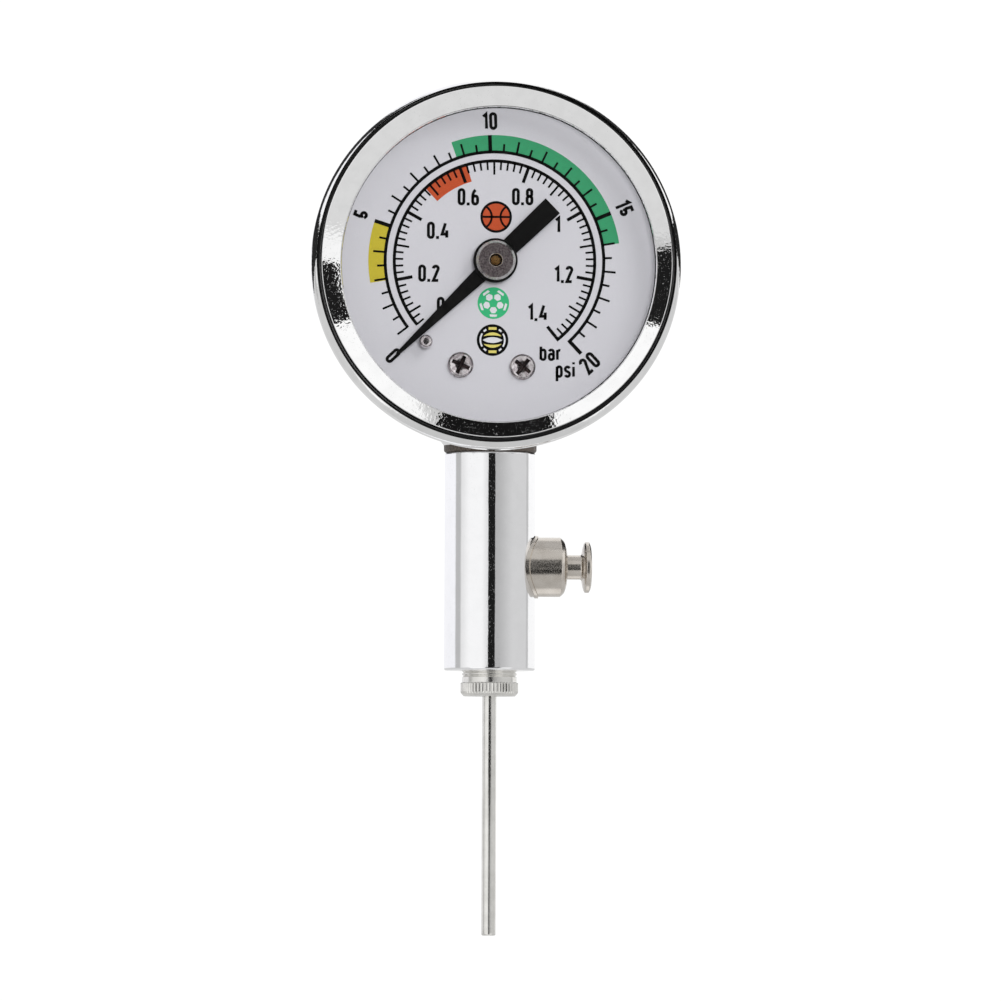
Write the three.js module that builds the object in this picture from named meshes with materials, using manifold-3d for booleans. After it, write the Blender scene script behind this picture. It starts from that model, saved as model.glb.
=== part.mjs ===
// A pocket pressure gauge for inflated balls: a 50 mm dial gauge on a round stem, with a bleed button on
// the side of the stem and a ball needle that screws into its lower end.
// Units are millimetres. The origin is the centre of the needle collar's lower face, +Z runs up the stem,
// the dial faces -Y and the bleed button points to +X.
import * as THREE from "three";
import { mergeVertices } from "three/addons/utils/BufferGeometryUtils.js";
import Module from "manifold-3d";

const wasm = await Module();
wasm.setup();

// ---- Driving dimensions ----
const CASE_CENTRE_Z = 61.7; // height of the axis of the case, bezel and lens
const DIAL_CENTRE_Z = 62.1; // height of the axis of the dial, pointer and movement
const CASE_SIDES = 48; // facets round the case and what is coaxial with it
const RUNNING_GAP = 0.05; // radial clearance of a pin in its hole
const SEAT_GAP = 0.3; // gap where one piece is shaped to another

const CASE = {
  radius: 24.9,
  wall: 0.9,
  back: 9.6,
  backWall: 0.9,
  cornerRadius: 3,
  rimRadius: 26.5,
  rimBack: -7.8,
  rimFront: -11.6,
  rimBore: 25.7,
  seat: -9.6,
};
const BEZEL = {
  radius: 25.3,
  lip: 22.4,
  front: -12.7,
  shoulder: -11.9,
  skirt: -9.7,
  skirtWall: 0.4,
  lensFace: -11.5,
};
const LENS = { radius: 24.7, thickness: 1.4 };
const GASKET_INNER = 22.9;
const DIAL = { radius: 23.2, front: -6.3, thickness: 0.6, spindleHole: 1.4 };
const DIAL_SCREW = { fromCentre: 15.65, head: 1.9, headHeight: 0.9, shank: 0.95, length: 4.2 };
// Clock angles of the two screws: the movement sits 1.5 degrees clockwise of upright in its case.
const DIAL_SCREW_ANGLES = { dial_screw_left: 198, dial_screw_right: 165 };
const STOP_PIN = { radius: 0.95, fromCentre: 15.3, clockAngle: 220.3, front: -8.6, tenon: 0.5 };
const POINTER = {
  back: -7.5,
  thickness: 0.4,
  restAngle: 226,
  length: 19.5,
  tipWidth: 0.5,
  rootWidth: 2.45,
  tail: 11.4,
  tailRoot: 2.6,
  tailEnd: 2.96,
  disc: 3.17,
  discThickness: 0.9,
};
const HUB = { radius: 2.83, face: 2.47, height: 0.75, recess: 1.15 };

const STEM = { radius: 6.535, bottom: 3.7, top: 35.1, chamfer: 0.35, passage: 1.4 };
const SADDLE = { foot: 6.75, radius: 7.55, flare: 2.1, top: 38.4, hole: 4.3 };
const NECK = { radius: 4, bottom: 28 };
const STEM_TOP_BORE = { radius: 4.2, floor: 27.2 };
const NEEDLE_BORE = { radius: 4.1, ceiling: 10.9 };
const SOCKET = {
  halfWidth: 7.4,
  bottom: 39.2,
  top: 49.1,
  front: -5.7,
  back: 6.2,
  ledgeTop: 52.8,
  passage: 0.8,
};

const VALVE = {
  z: 18.6,
  tailRadius: 3.1,
  tailStart: 4.2,
  radius: 4.27,
  flange: 4.52,
  flangeEnd: 7.2,
  tailEnd: 7.7,
  end: 11,
  shoulderStart: 10.1,
  shoulderDrop: 0.35,
  faceRadius: 2.75,
};
const VALVE_BORE = { seatHole: 0.95, chamber: 2.4, chamberStart: 5.6, chamberEnd: 9.8, mouth: 1.85 };
const STEM_SIDE_BORE = { seal: 2.5, tail: 3.3, step: 3.9 };
const BUTTON = {
  rod: 0.7,
  rodEnd: 3.3,
  shank: 1.75,
  shankStart: 9.6,
  head: 3.66,
  headStart: 13.3,
  end: 14.5,
};
const SEAL = { radius: 2, start: 3.35, thickness: 0.75 };
const BLEED_SPRING = { coilRadius: 1.3, wire: 0.18, turns: 5, start: 5.85, end: 9.35 };

const NEEDLE = { radius: 1.035, bore: 0.6, tip: -34.3, top: 6 };
const COLLAR = { radius: 4.15, height: 1.9, thread: 3.95, threadRoot: 3.55, shankTop: 9.6 };
const THREAD_PITCH = 0.794;
const WASHER_HEIGHT = 1.2;

// Movement, in the plane of the dial: x to the right and z up from the dial's axis.
const PLATE_THICKNESS = 0.8;
const FRONT_PLATE = -4.9; // front faces of the plates and of what lies between them
const BACK_PLATE = 0.4;
const SECTOR_FACE = -2.2;
const LINK_FACE = -1.3;
const HAIRSPRING_FACE = -3.7;
const GEAR = { module: 0.2, pinionTeeth: 10, sectorTeeth: 100, pressureAngle: 20, backlash: 0.05 };
const PINION_ADDENDUM = 0.2;
const SECTOR_ADDENDUM = 0.12;
const TOOTH_CLEARANCE = 0.06;
const GEAR_CENTRES = (GEAR.module * (GEAR.pinionTeeth + GEAR.sectorTeeth)) / 2;
const POINTER_SWEEP = 270.5;
const SECTOR_SWEEP = (POINTER_SWEEP * GEAR.pinionTeeth) / GEAR.sectorTeeth;
const ARBOR_DIRECTION = -45; // from the dial's axis to the sector's arbor, counter-clockwise from +X
const TAIL_ARM = 5;
const LINK = { length: 5.2, direction: 45, lug: 1.2, thickness: 0.5, openHole: 0.7 };
const LINK_PIN = { radius: 0.5, head: 0.8 };
const ARBOR = { pivot: 0.5, body: 0.9 };
const PRESS_GAP = 0.02; // radial gap left round a pin pressed into its hole
const SPINDLE = {
  tip: 0.5,
  front: -9.1,
  shaft: 0.68,
  shaftFront: -8.45,
  pivot: 0.5,
  body: 0.62,
  pinionFace: -2.6,
  pinionLength: 1.6,
};
const TUBE = { radius: 17.5, halfWidth: 3, halfDepth: 1.1, wall: 0.3, from: 202.5, to: 112, middle: -0.5 };
const TIP = { from: 113, to: 119, back: 2.3, front: -0.5, inner: 16.2, outer: 18.7, lug: 1.5, lugBack: 0.7 };
const HAIRSPRING = { inner: 1.3, outer: 3.2, turns: 3.25, band: 0.15, height: 0.5 };
const PILLAR = { radius: 1, tenon: 0.55 };
const PILLARS = [
  [-6.2, -8.2],
  [9.5, -2],
  [-3, 4.5],
];
const FOOT = { x: 5.5, z: -12.2 };
const MOVEMENT_SCREW = { x: 3.6, z: -11.2, head: 1.3, headHeight: 0.7, shank: 0.75, length: 4 };

// ---- Materials ----
const chrome = new THREE.MeshStandardMaterial({ color: 0xd8dadc, roughness: 0.08, metalness: 1 });
const nickel = new THREE.MeshStandardMaterial({ color: 0xcfc9bd, roughness: 0.15, metalness: 1 });
const steel = new THREE.MeshStandardMaterial({ color: 0xb4b4b6, roughness: 0.3, metalness: 1 });
const hubMetal = new THREE.MeshStandardMaterial({ color: 0x73696c, roughness: 0.35, metalness: 1 });
const brass = new THREE.MeshStandardMaterial({ color: 0xb0824a, roughness: 0.3, metalness: 1 });
const bronze = new THREE.MeshStandardMaterial({ color: 0xa87850, roughness: 0.35, metalness: 1 });
const blackPaint = new THREE.MeshStandardMaterial({ color: 0x0f0f0f, roughness: 0.5 });
const dialPaint = new THREE.MeshStandardMaterial({ color: 0xd4d4db, roughness: 0.6 });
const rubber = new THREE.MeshStandardMaterial({ color: 0x1c1c1c, roughness: 0.9 });
const fibre = new THREE.MeshStandardMaterial({ color: 0x8c3b2a, roughness: 0.8 });
const clear = new THREE.MeshStandardMaterial({
  color: 0xffffff,
  roughness: 0.02,
  transparent: true,
  opacity: 0.2,
});

// ---- Helpers ----
const root = new THREE.Group();
const radians = THREE.MathUtils.degToRad;

function addPart(name, geometry, material, parent = root) {
  const mesh = new THREE.Mesh(geometry, material);
  mesh.name = name;
  parent.add(mesh);
  return mesh;
}

// Turns a profile of [radius, height] points about the Y axis. It starts and ends on the axis, or closes
// on itself where no point is on the axis.
function turned(profile, sides = 20) {
  const points = profile.map(([r, h]) => new THREE.Vector2(r, h));
  const touchesAxis = points[0].x === 0;
  if (!touchesAxis) points.push(points[0].clone());
  if (THREE.ShapeUtils.area(points) < 0) points.reverse();
  return new THREE.LatheGeometry(points, sides);
}

const turnedAboutZ = (profile, sides) => turned(profile, sides).rotateX(Math.PI / 2);
const turnedAboutX = (profile, sides) => turned(profile, sides).rotateZ(-Math.PI / 2);

function solid(geometry) {
  const bare = geometry.clone();
  bare.deleteAttribute("normal");
  bare.deleteAttribute("uv");
  const merged = mergeVertices(bare, 1e-4);
  const vertProperties = merged.attributes.position.array;
  const triVerts = new Uint32Array(merged.index.array);
  return new wasm.Manifold(new wasm.Mesh({ numProp: 3, vertProperties, triVerts }));
}

function geometryOf(manifold) {
  const { vertProperties, triVerts } = manifold.getMesh();
  const geometry = new THREE.BufferGeometry();
  geometry.setAttribute("position", new THREE.BufferAttribute(new Float32Array(vertProperties), 3));
  geometry.setIndex(new THREE.BufferAttribute(new Uint32Array(triVerts), 1));
  geometry.computeVertexNormals();
  return geometry;
}

const joined = (...pieces) => geometryOf(pieces.map(solid).reduce((a, b) => a.add(b)));

function cut(geometry, ...tools) {
  return geometryOf(tools.map(solid).reduce((a, b) => a.subtract(b), solid(geometry)));
}

// A box from its lowest to its highest corner.
function block([x0, y0, z0], [x1, y1, z1]) {
  const box = new THREE.BoxGeometry(x1 - x0, y1 - y0, z1 - z0);
  return box.translate((x0 + x1) / 2, (y0 + y1) / 2, (z0 + z1) / 2);
}

// A plain cylinder along Y, centred on (x, z), from y0 to y1.
function rodAlongY(radius, y0, y1, [x, z] = [0, 0], sides = 12) {
  const rod = new THREE.CylinderGeometry(radius, radius, y1 - y0, sides);
  return rod.translate(x, (y0 + y1) / 2, z);
}

// Extrudes an outline of [x, z] points in the dial's plane from y0 back to y1, with round holes given as
// [x, z, radius]. Shape x and y are row x and z, and the extrusion runs towards +Y.
function plate(outline, y0, y1, holes = [], holeSides = 12) {
  const shape = new THREE.Shape(outline.map(([x, z]) => new THREE.Vector2(x, z)));
  for (const [x, z, radius] of holes) {
    const ring = [];
    for (let i = 0; i < holeSides; i++) {
      const a = (2 * Math.PI * i) / holeSides;
      ring.push(new THREE.Vector2(x + radius * Math.cos(a), z + radius * Math.sin(a)));
    }
    shape.holes.push(new THREE.Path(ring));
  }
  const geometry = new THREE.ExtrudeGeometry(shape, { depth: y1 - y0, bevelEnabled: false });
  return geometry.rotateX(Math.PI / 2).translate(0, y1, 0);
}

const polar = (radius, degrees) => [
  radius * Math.cos(radians(degrees)),
  radius * Math.sin(radians(degrees)),
];

function circleOutline(radius, sides) {
  return Array.from({ length: sides }, (_, i) => polar(radius, (360 * i) / sides));
}

// A place on the dial by its angle clockwise from the top.
const onDial = (radius, clockAngle) => polar(radius, 90 - clockAngle);

// The convex outline round a set of circles, each [x, z, radius].
function outlineRound(circles, sides = 16) {
  const points = circles.flatMap(([x, z, radius]) =>
    Array.from({ length: sides }, (_, i) => {
      const [dx, dz] = polar(radius, (360 * i) / sides);
      return [x + dx, z + dz];
    }),
  );
  points.sort((a, b) => a[0] - b[0] || a[1] - b[1]);
  const turn = (o, a, b) => (a[0] - o[0]) * (b[1] - o[1]) - (a[1] - o[1]) * (b[0] - o[0]);
  const half = (list) => {
    const chain = [];
    for (const point of list) {
      while (chain.length > 1 && turn(chain.at(-2), chain.at(-1), point) <= 1e-9) chain.pop();
      chain.push(point);
    }
    return chain.slice(0, -1);
  };
  return [...half(points), ...half([...points].reverse())];
}

// A capsule's outline between two places.
const bar = ([x0, z0], [x1, z1], radius) =>
  outlineRound([
    [x0, z0, radius],
    [x1, z1, radius],
  ]);

// One involute tooth, centred on an angle, as points from its right foot to its left foot.
function tooth(teeth, addendum, dedendum, centreDegrees) {
  const pitch = (GEAR.module * teeth) / 2;
  const base = pitch * Math.cos(radians(GEAR.pressureAngle));
  const involute = (r) => {
    const t = Math.sqrt(Math.max((r / base) ** 2 - 1, 0));
    return t - Math.atan(t);
  };
  const halfAtPitch = Math.PI / (2 * teeth) - GEAR.backlash / (2 * pitch);
  const foot = pitch - dedendum;
  const tip = pitch + addendum;
  const start = Math.max(foot, base);
  const flank = [0, 0.5, 1].map((k) => start + (tip - start) * k);
  const halfAt = (r) => halfAtPitch + involute(pitch) - involute(r);
  const right = [[foot, -halfAt(start)], ...flank.map((r) => [r, -halfAt(r)])];
  const left = right.map(([r, a]) => [r, -a]).reverse();
  const side = foot < base ? right : right.slice(1);
  const otherSide = foot < base ? left : left.slice(0, -1);
  return [...side, ...otherSide].map(([r, a]) => polar(r, centreDegrees + THREE.MathUtils.radToDeg(a)));
}

// ---- Case, bezel and lens, all turned about the case's axis ----
const caseGroup = new THREE.Group();
caseGroup.position.z = CASE_CENTRE_Z;
root.add(caseGroup);
const dialGroup = new THREE.Group();
dialGroup.position.z = DIAL_CENTRE_Z;
root.add(dialGroup);

function caseCup() {
  const inside = CASE.radius - CASE.wall;
  const corner = CASE.cornerRadius;
  const profile = [[0, CASE.back]];
  for (const a of [90, 45, 0]) {
    const [dr, dy] = polar(corner, a);
    profile.push([CASE.radius - corner + dr, CASE.back - corner + dy]);
  }
  profile.push([CASE.radius, CASE.rimBack]);
  const beadHalf = (CASE.rimBack - CASE.rimFront) / 2;
  const beadHeight = CASE.rimRadius - CASE.radius;
  for (const a of [140, 90, 40]) {
    const [dy, dr] = polar(1, a);
    profile.push([CASE.radius + beadHeight * dr, CASE.rimBack - beadHalf * (1 + dy)]);
  }
  profile.push([CASE.rimBore + 0.1, CASE.rimFront]);
  profile.push([CASE.rimBore, CASE.rimFront + 0.15]);
  profile.push([CASE.rimBore, CASE.seat]);
  profile.push([inside, CASE.seat]);
  profile.push([inside, CASE.back - corner]);
  const innerCorner = corner - CASE.wall;
  for (const a of [45, 90]) {
    const [dr, dy] = polar(innerCorner, a);
    profile.push([inside - innerCorner + dr, CASE.back - corner + dy]);
  }
  profile.push([0, CASE.back - CASE.backWall]);
  const neckHole = new THREE.CylinderGeometry(SADDLE.hole, SADDLE.hole, 8, 24);
  neckHole.rotateX(Math.PI / 2).translate(0, 0, -CASE.radius);
  return cut(turned(profile, CASE_SIDES), neckHole);
}

function bezelRing() {
  const skirtInner = BEZEL.radius - BEZEL.skirtWall;
  return turned(
    [
      [skirtInner, BEZEL.lensFace],
      [skirtInner, BEZEL.skirt],
      [CASE.rimBore - 0.05, BEZEL.skirt],
      [CASE.rimBore - 0.05, BEZEL.skirt - 0.4],
      [BEZEL.radius, BEZEL.skirt - 0.7],
      [BEZEL.radius, BEZEL.shoulder],
      [BEZEL.radius - 0.3, BEZEL.shoulder - 0.1],
      [BEZEL.lip + 0.35, BEZEL.front],
      [BEZEL.lip, BEZEL.front + 0.3],
      [BEZEL.lip, BEZEL.lensFace],
    ],
    CASE_SIDES,
  );
}

function ring(inner, outer, y0, y1, sides = CASE_SIDES) {
  return turned(
    [
      [inner, y0],
      [outer, y0],
      [outer, y1],
      [inner, y1],
    ],
    sides,
  );
}

const lensBack = BEZEL.lensFace + LENS.thickness;
addPart("case_cup", caseCup(), chrome, caseGroup);
addPart("bezel_ring", bezelRing(), chrome, caseGroup);
addPart(
  "lens",
  turned(
    [
      [0, BEZEL.lensFace],
      [LENS.radius, BEZEL.lensFace],
      [LENS.radius, lensBack],
      [0, lensBack],
    ],
    CASE_SIDES,
  ),
  clear,
  caseGroup,
);
addPart("lens_gasket", ring(GASKET_INNER, LENS.radius, lensBack, CASE.seat), rubber, caseGroup);

// ---- Dial plate with its screws and stop pin ----
const dialBack = DIAL.front + DIAL.thickness;
const stopPin = onDial(STOP_PIN.fromCentre, STOP_PIN.clockAngle);
const dialScrews = Object.entries(DIAL_SCREW_ANGLES).map(([name, angle]) => [
  name,
  onDial(DIAL_SCREW.fromCentre, angle),
]);
addPart(
  "dial_plate",
  plate(circleOutline(DIAL.radius, CASE_SIDES), DIAL.front, dialBack, [
    [0, 0, DIAL.spindleHole],
    ...dialScrews.map(([, place]) => [...place, DIAL_SCREW.shank + RUNNING_GAP]),
    [...stopPin, STOP_PIN.tenon + RUNNING_GAP],
  ]),
  dialPaint,
  dialGroup,
);

// A pan-head screw along Y: its head stands in front of y, its shank runs back from y.
function screw(size, y) {
  const top = y - size.headHeight;
  return turned(
    [
      [0, top],
      [size.head * 0.7, top],
      [size.head, top + size.headHeight * 0.45],
      [size.head, y],
      [size.shank, y],
      [size.shank, y + size.length],
      [0, y + size.length],
    ],
    14,
  );
}

function crossSlots(size, y) {
  const depth = size.headHeight * 0.6;
  const [long, short] = [size.head * 0.62, size.head * 0.14];
  const top = y - size.headHeight;
  return [
    block([-long, top - 1, -short], [long, top + depth, short]),
    block([-short, top - 1, -long], [short, top + depth, long]),
  ];
}

for (const [name, [x, z]] of dialScrews) {
  const made = cut(screw(DIAL_SCREW, DIAL.front), ...crossSlots(DIAL_SCREW, DIAL.front));
  addPart(name, made, steel, dialGroup).position.set(x, 0, z);
}

addPart(
  "zero_stop_pin",
  turned(
    [
      [0, STOP_PIN.front],
      [STOP_PIN.radius * 0.7, STOP_PIN.front],
      [STOP_PIN.radius, STOP_PIN.front + 0.35],
      [STOP_PIN.radius, DIAL.front],
      [STOP_PIN.tenon, DIAL.front],
      [STOP_PIN.tenon, dialBack + 0.4],
      [0, dialBack + 0.4],
    ],
    16,
  ),
  steel,
  dialGroup,
).position.set(stopPin[0], 0, stopPin[1]);

// ---- Pointer, its hub cap and the pinion spindle ----
const pointerFront = POINTER.back - POINTER.thickness;
const discFront = POINTER.back - POINTER.discThickness;
const spindleBore = SPINDLE.shaft + RUNNING_GAP;

function pointerBlade() {
  const blade = [
    [-POINTER.rootWidth / 2, 0],
    [POINTER.rootWidth / 2, 0],
    [POINTER.tipWidth / 2, POINTER.length],
    [-POINTER.tipWidth / 2, POINTER.length],
  ];
  const tail = [
    [-POINTER.tailEnd / 2, -POINTER.tail],
    [POINTER.tailEnd / 2, -POINTER.tail],
    [POINTER.tailRoot / 2, 0],
    [-POINTER.tailRoot / 2, 0],
  ];
  const whole = joined(
    plate(blade, pointerFront, POINTER.back),
    plate(tail, pointerFront, POINTER.back),
    rodAlongY(POINTER.disc, discFront, POINTER.back, [0, 0], 24),
  );
  const drilled = cut(whole, rodAlongY(spindleBore, discFront - 1, POINTER.back + 1));
  return drilled.rotateY(radians(POINTER.restAngle));
}

addPart("pointer", pointerBlade(), blackPaint, dialGroup);
addPart(
  "pointer_hub",
  turned(
    [
      [spindleBore, discFront],
      [HUB.radius, discFront],
      [HUB.radius, discFront - 0.25],
      [HUB.face, discFront - HUB.height],
      [HUB.recess, discFront - HUB.height],
      [HUB.recess, discFront - HUB.height + 0.25],
      [spindleBore, discFront - HUB.height + 0.25],
    ],
    24,
  ),
  hubMetal,
  dialGroup,
);

// The pinion is cut in the spindle, whose pivots run in the two plates. A gap between teeth faces the
// sector when the pointer is at the middle of its sweep.
function pinionSpindle() {
  const backPivot = BACK_PLATE + PLATE_THICKNESS;
  const shaft = turned(
    [
      [0, SPINDLE.front],
      [SPINDLE.tip - 0.1, SPINDLE.front],
      [SPINDLE.tip, SPINDLE.front + 0.1],
      [SPINDLE.tip, SPINDLE.shaftFront],
      [SPINDLE.shaft, SPINDLE.shaftFront],
      [SPINDLE.shaft, FRONT_PLATE - 0.2],
      [SPINDLE.pivot, FRONT_PLATE - 0.2],
      [SPINDLE.pivot, FRONT_PLATE + PLATE_THICKNESS + 0.1],
      [SPINDLE.body, FRONT_PLATE + PLATE_THICKNESS + 0.1],
      [SPINDLE.body, BACK_PLATE - 0.1],
      [SPINDLE.pivot, BACK_PLATE - 0.1],
      [SPINDLE.pivot, backPivot],
      [0, backPivot],
    ],
    12,
  );
  const step = 360 / GEAR.pinionTeeth;
  const facing = ARBOR_DIRECTION + POINTER_SWEEP / 2;
  const dedendum = SECTOR_ADDENDUM + TOOTH_CLEARANCE;
  const outline = [];
  for (let i = 0; i < GEAR.pinionTeeth; i++) {
    outline.push(...tooth(GEAR.pinionTeeth, PINION_ADDENDUM, dedendum, facing + step * (i + 0.5)));
  }
  return joined(shaft, plate(outline, SPINDLE.pinionFace, SPINDLE.pinionFace + SPINDLE.pinionLength));
}
addPart("pinion_spindle", pinionSpindle(), brass, dialGroup);

// ---- Sector gear, link and Bourdon tube ----
const arbor = polar(GEAR_CENTRES, ARBOR_DIRECTION);
const sectorRest = -SECTOR_SWEEP / 2; // how far the sector is turned at rest from mid-stroke
const tailDirection = ARBOR_DIRECTION + sectorRest;
const tailStep = polar(TAIL_ARM, tailDirection);
const tailPin = [arbor[0] + tailStep[0], arbor[1] + tailStep[1]];
const linkStep = polar(LINK.length, LINK.direction);
const tipPin = [tailPin[0] + linkStep[0], tailPin[1] + linkStep[1]];
const sectorBack = SECTOR_FACE + PLATE_THICKNESS;

function sectorGear() {
  const toothStep = 360 / GEAR.sectorTeeth;
  const middle = ARBOR_DIRECTION + 180 + sectorRest;
  const dedendum = PINION_ADDENDUM + TOOTH_CLEARANCE;
  const fan = [[0, 0]];
  for (let i = -6; i <= 6; i++) {
    fan.push(...tooth(GEAR.sectorTeeth, SECTOR_ADDENDUM, dedendum, middle + toothStep * i));
  }
  const blank = joined(
    plate(fan, SECTOR_FACE, sectorBack),
    plate(circleOutline(2, 24), SECTOR_FACE, sectorBack),
    plate(bar([0, 0], tailStep, LINK.lug), SECTOR_FACE, sectorBack),
  );
  const window = outlineRound([
    [...polar(4.2, middle), 0.5],
    [...polar(7.6, middle), 1.4],
  ]);
  return cut(
    blank,
    plate(window, SECTOR_FACE - 1, sectorBack + 1),
    rodAlongY(ARBOR.body + PRESS_GAP, SECTOR_FACE - 1, sectorBack + 1),
    rodAlongY(LINK_PIN.radius + PRESS_GAP, SECTOR_FACE - 1, sectorBack + 1, tailStep),
  );
}
addPart("sector_gear", sectorGear(), brass, dialGroup).position.set(arbor[0], 0, arbor[1]);

addPart(
  "sector_arbor",
  turned(
    [
      [0, FRONT_PLATE],
      [ARBOR.pivot, FRONT_PLATE],
      [ARBOR.pivot, FRONT_PLATE + PLATE_THICKNESS + 0.1],
      [ARBOR.body, FRONT_PLATE + PLATE_THICKNESS + 0.1],
      [ARBOR.body, BACK_PLATE - 0.1],
      [ARBOR.pivot, BACK_PLATE - 0.1],
      [ARBOR.pivot, BACK_PLATE + PLATE_THICKNESS],
      [0, BACK_PLATE + PLATE_THICKNESS],
    ],
    12,
  ),
  steel,
  dialGroup,
).position.set(arbor[0], 0, arbor[1]);

// A headed pin along Y, with its head in front.
function headedPin(headFront, headBack, end) {
  return turned(
    [
      [0, headFront],
      [LINK_PIN.head, headFront],
      [LINK_PIN.head, headBack],
      [LINK_PIN.radius, headBack],
      [LINK_PIN.radius, end],
      [0, end],
    ],
    12,
  );
}

const linkBack = LINK_FACE + LINK.thickness;
addPart("link_pin_sector", headedPin(SECTOR_FACE - 0.4, SECTOR_FACE, linkBack + 0.2), steel, dialGroup)
  .position.set(tailPin[0], 0, tailPin[1]);
addPart("link_pin_tip", headedPin(LINK_FACE - 0.5, LINK_FACE - 0.1, TIP.lugBack), steel, dialGroup)
  .position.set(tipPin[0], 0, tipPin[1]);
addPart(
  "link",
  plate(bar([0, 0], linkStep, LINK.lug), LINK_FACE, linkBack, [
    [0, 0, LINK.openHole],
    [...linkStep, LINK_PIN.radius + RUNNING_GAP],
  ]),
  brass,
  dialGroup,
).position.set(tailPin[0], 0, tailPin[1]);

// The tube is a C of flat oval section, from the socket block on the left over the top to the right.
function bourdonTube() {
  class Bend extends THREE.Curve {
    getPoint(t, target = new THREE.Vector3()) {
      const sweep = 360 - TUBE.from + TUBE.to;
      const [x, z] = onDial(TUBE.radius, TUBE.from + sweep * t);
      return target.set(x, TUBE.middle, z);
    }
  }
  const oval = (a, b) =>
    Array.from({ length: 8 }, (_, i) => {
      const t = (2 * Math.PI * i) / 8;
      return new THREE.Vector2(a * Math.cos(t), b * Math.sin(t));
    });
  const section = new THREE.Shape(oval(TUBE.halfWidth, TUBE.halfDepth));
  section.holes.push(new THREE.Path(oval(TUBE.halfWidth - TUBE.wall, TUBE.halfDepth - TUBE.wall)));
  return new THREE.ExtrudeGeometry(section, { steps: 24, extrudePath: new Bend(), bevelEnabled: false });
}
addPart("bourdon_tube", bourdonTube(), bronze, dialGroup);

function tubeTip() {
  const wedge = [];
  for (const [radius, order] of [
    [TIP.inner, [TIP.from, TIP.to]],
    [TIP.outer, [TIP.to, TIP.from]],
  ]) {
    for (const angle of order) wedge.push(onDial(radius, angle));
  }
  const shoulder = onDial((TIP.inner + TIP.outer) / 2, (TIP.from + TIP.to) / 2);
  const whole = joined(
    plate(wedge, TIP.front, TIP.back),
    plate(bar(shoulder, tipPin, TIP.lug * 0.8), TIP.front, TIP.lugBack),
  );
  return cut(whole, rodAlongY(LINK_PIN.radius + PRESS_GAP, TIP.front - 1, TIP.back + 1, tipPin));
}
addPart("tube_tip", tubeTip(), brass, dialGroup);

// ---- Movement frame and hairspring ----
const plateHoles = [
  [0, 0, SPINDLE.pivot + RUNNING_GAP],
  [...arbor, ARBOR.pivot + RUNNING_GAP],
  ...PILLARS.map(([x, z]) => [x, z, PILLAR.tenon + RUNNING_GAP]),
];
const plateCorners = [[0, 0, 3.2], [...arbor, 2.6], ...PILLARS.map(([x, z]) => [x, z, 1.8])];
const feet = [
  [-FOOT.x, FOOT.z, 0.8],
  [FOOT.x, FOOT.z, 0.8],
];
const movementScrewHoles = [-1, 1].map((side) => [
  side * MOVEMENT_SCREW.x,
  MOVEMENT_SCREW.z,
  MOVEMENT_SCREW.shank + RUNNING_GAP,
]);
addPart(
  "movement_front_plate",
  plate(outlineRound(plateCorners), FRONT_PLATE, FRONT_PLATE + PLATE_THICKNESS, plateHoles),
  brass,
  dialGroup,
);
addPart(
  "movement_back_plate",
  plate(outlineRound([...plateCorners, ...feet]), BACK_PLATE, BACK_PLATE + PLATE_THICKNESS, [
    ...plateHoles,
    ...movementScrewHoles,
  ]),
  brass,
  dialGroup,
);

PILLARS.forEach(([x, z], i) => {
  const pillar = turned(
    [
      [0, FRONT_PLATE],
      [PILLAR.tenon, FRONT_PLATE],
      [PILLAR.tenon, FRONT_PLATE + PLATE_THICKNESS],
      [PILLAR.radius, FRONT_PLATE + PLATE_THICKNESS],
      [PILLAR.radius, BACK_PLATE],
      [PILLAR.tenon, BACK_PLATE],
      [PILLAR.tenon, BACK_PLATE + PLATE_THICKNESS],
      [0, BACK_PLATE + PLATE_THICKNESS],
    ],
    12,
  );
  addPart(`movement_pillar_${i + 1}`, pillar, brass, dialGroup).position.set(x, 0, z);
});

for (const [name, side] of [
  ["movement_screw_left", -1],
  ["movement_screw_right", 1],
]) {
  const made = screw(MOVEMENT_SCREW, BACK_PLATE);
  addPart(name, made, steel, dialGroup).position.set(side * MOVEMENT_SCREW.x, 0, MOVEMENT_SCREW.z);
}

function hairspring() {
  const steps = Math.round(HAIRSPRING.turns * 16);
  const edge = (offset) =>
    Array.from({ length: steps + 1 }, (_, i) => {
      const k = i / steps;
      const radius = HAIRSPRING.inner + (HAIRSPRING.outer - HAIRSPRING.inner) * k;
      return polar(radius + offset, 360 * HAIRSPRING.turns * k);
    });
  const outline = [...edge(-HAIRSPRING.band / 2), ...edge(HAIRSPRING.band / 2).reverse()];
  return plate(outline, HAIRSPRING_FACE, HAIRSPRING_FACE + HAIRSPRING.height);
}
addPart("hairspring", hairspring(), bronze, dialGroup);

const studPlace = polar(HAIRSPRING.outer + 0.65, 360 * HAIRSPRING.turns);
addPart(
  "hairspring_stud",
  rodAlongY(0.4, FRONT_PLATE + PLATE_THICKNESS, HAIRSPRING_FACE + HAIRSPRING.height + 0.3, [0, 0], 12),
  steel,
  dialGroup,
).position.set(studPlace[0], 0, studPlace[1]);

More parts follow.
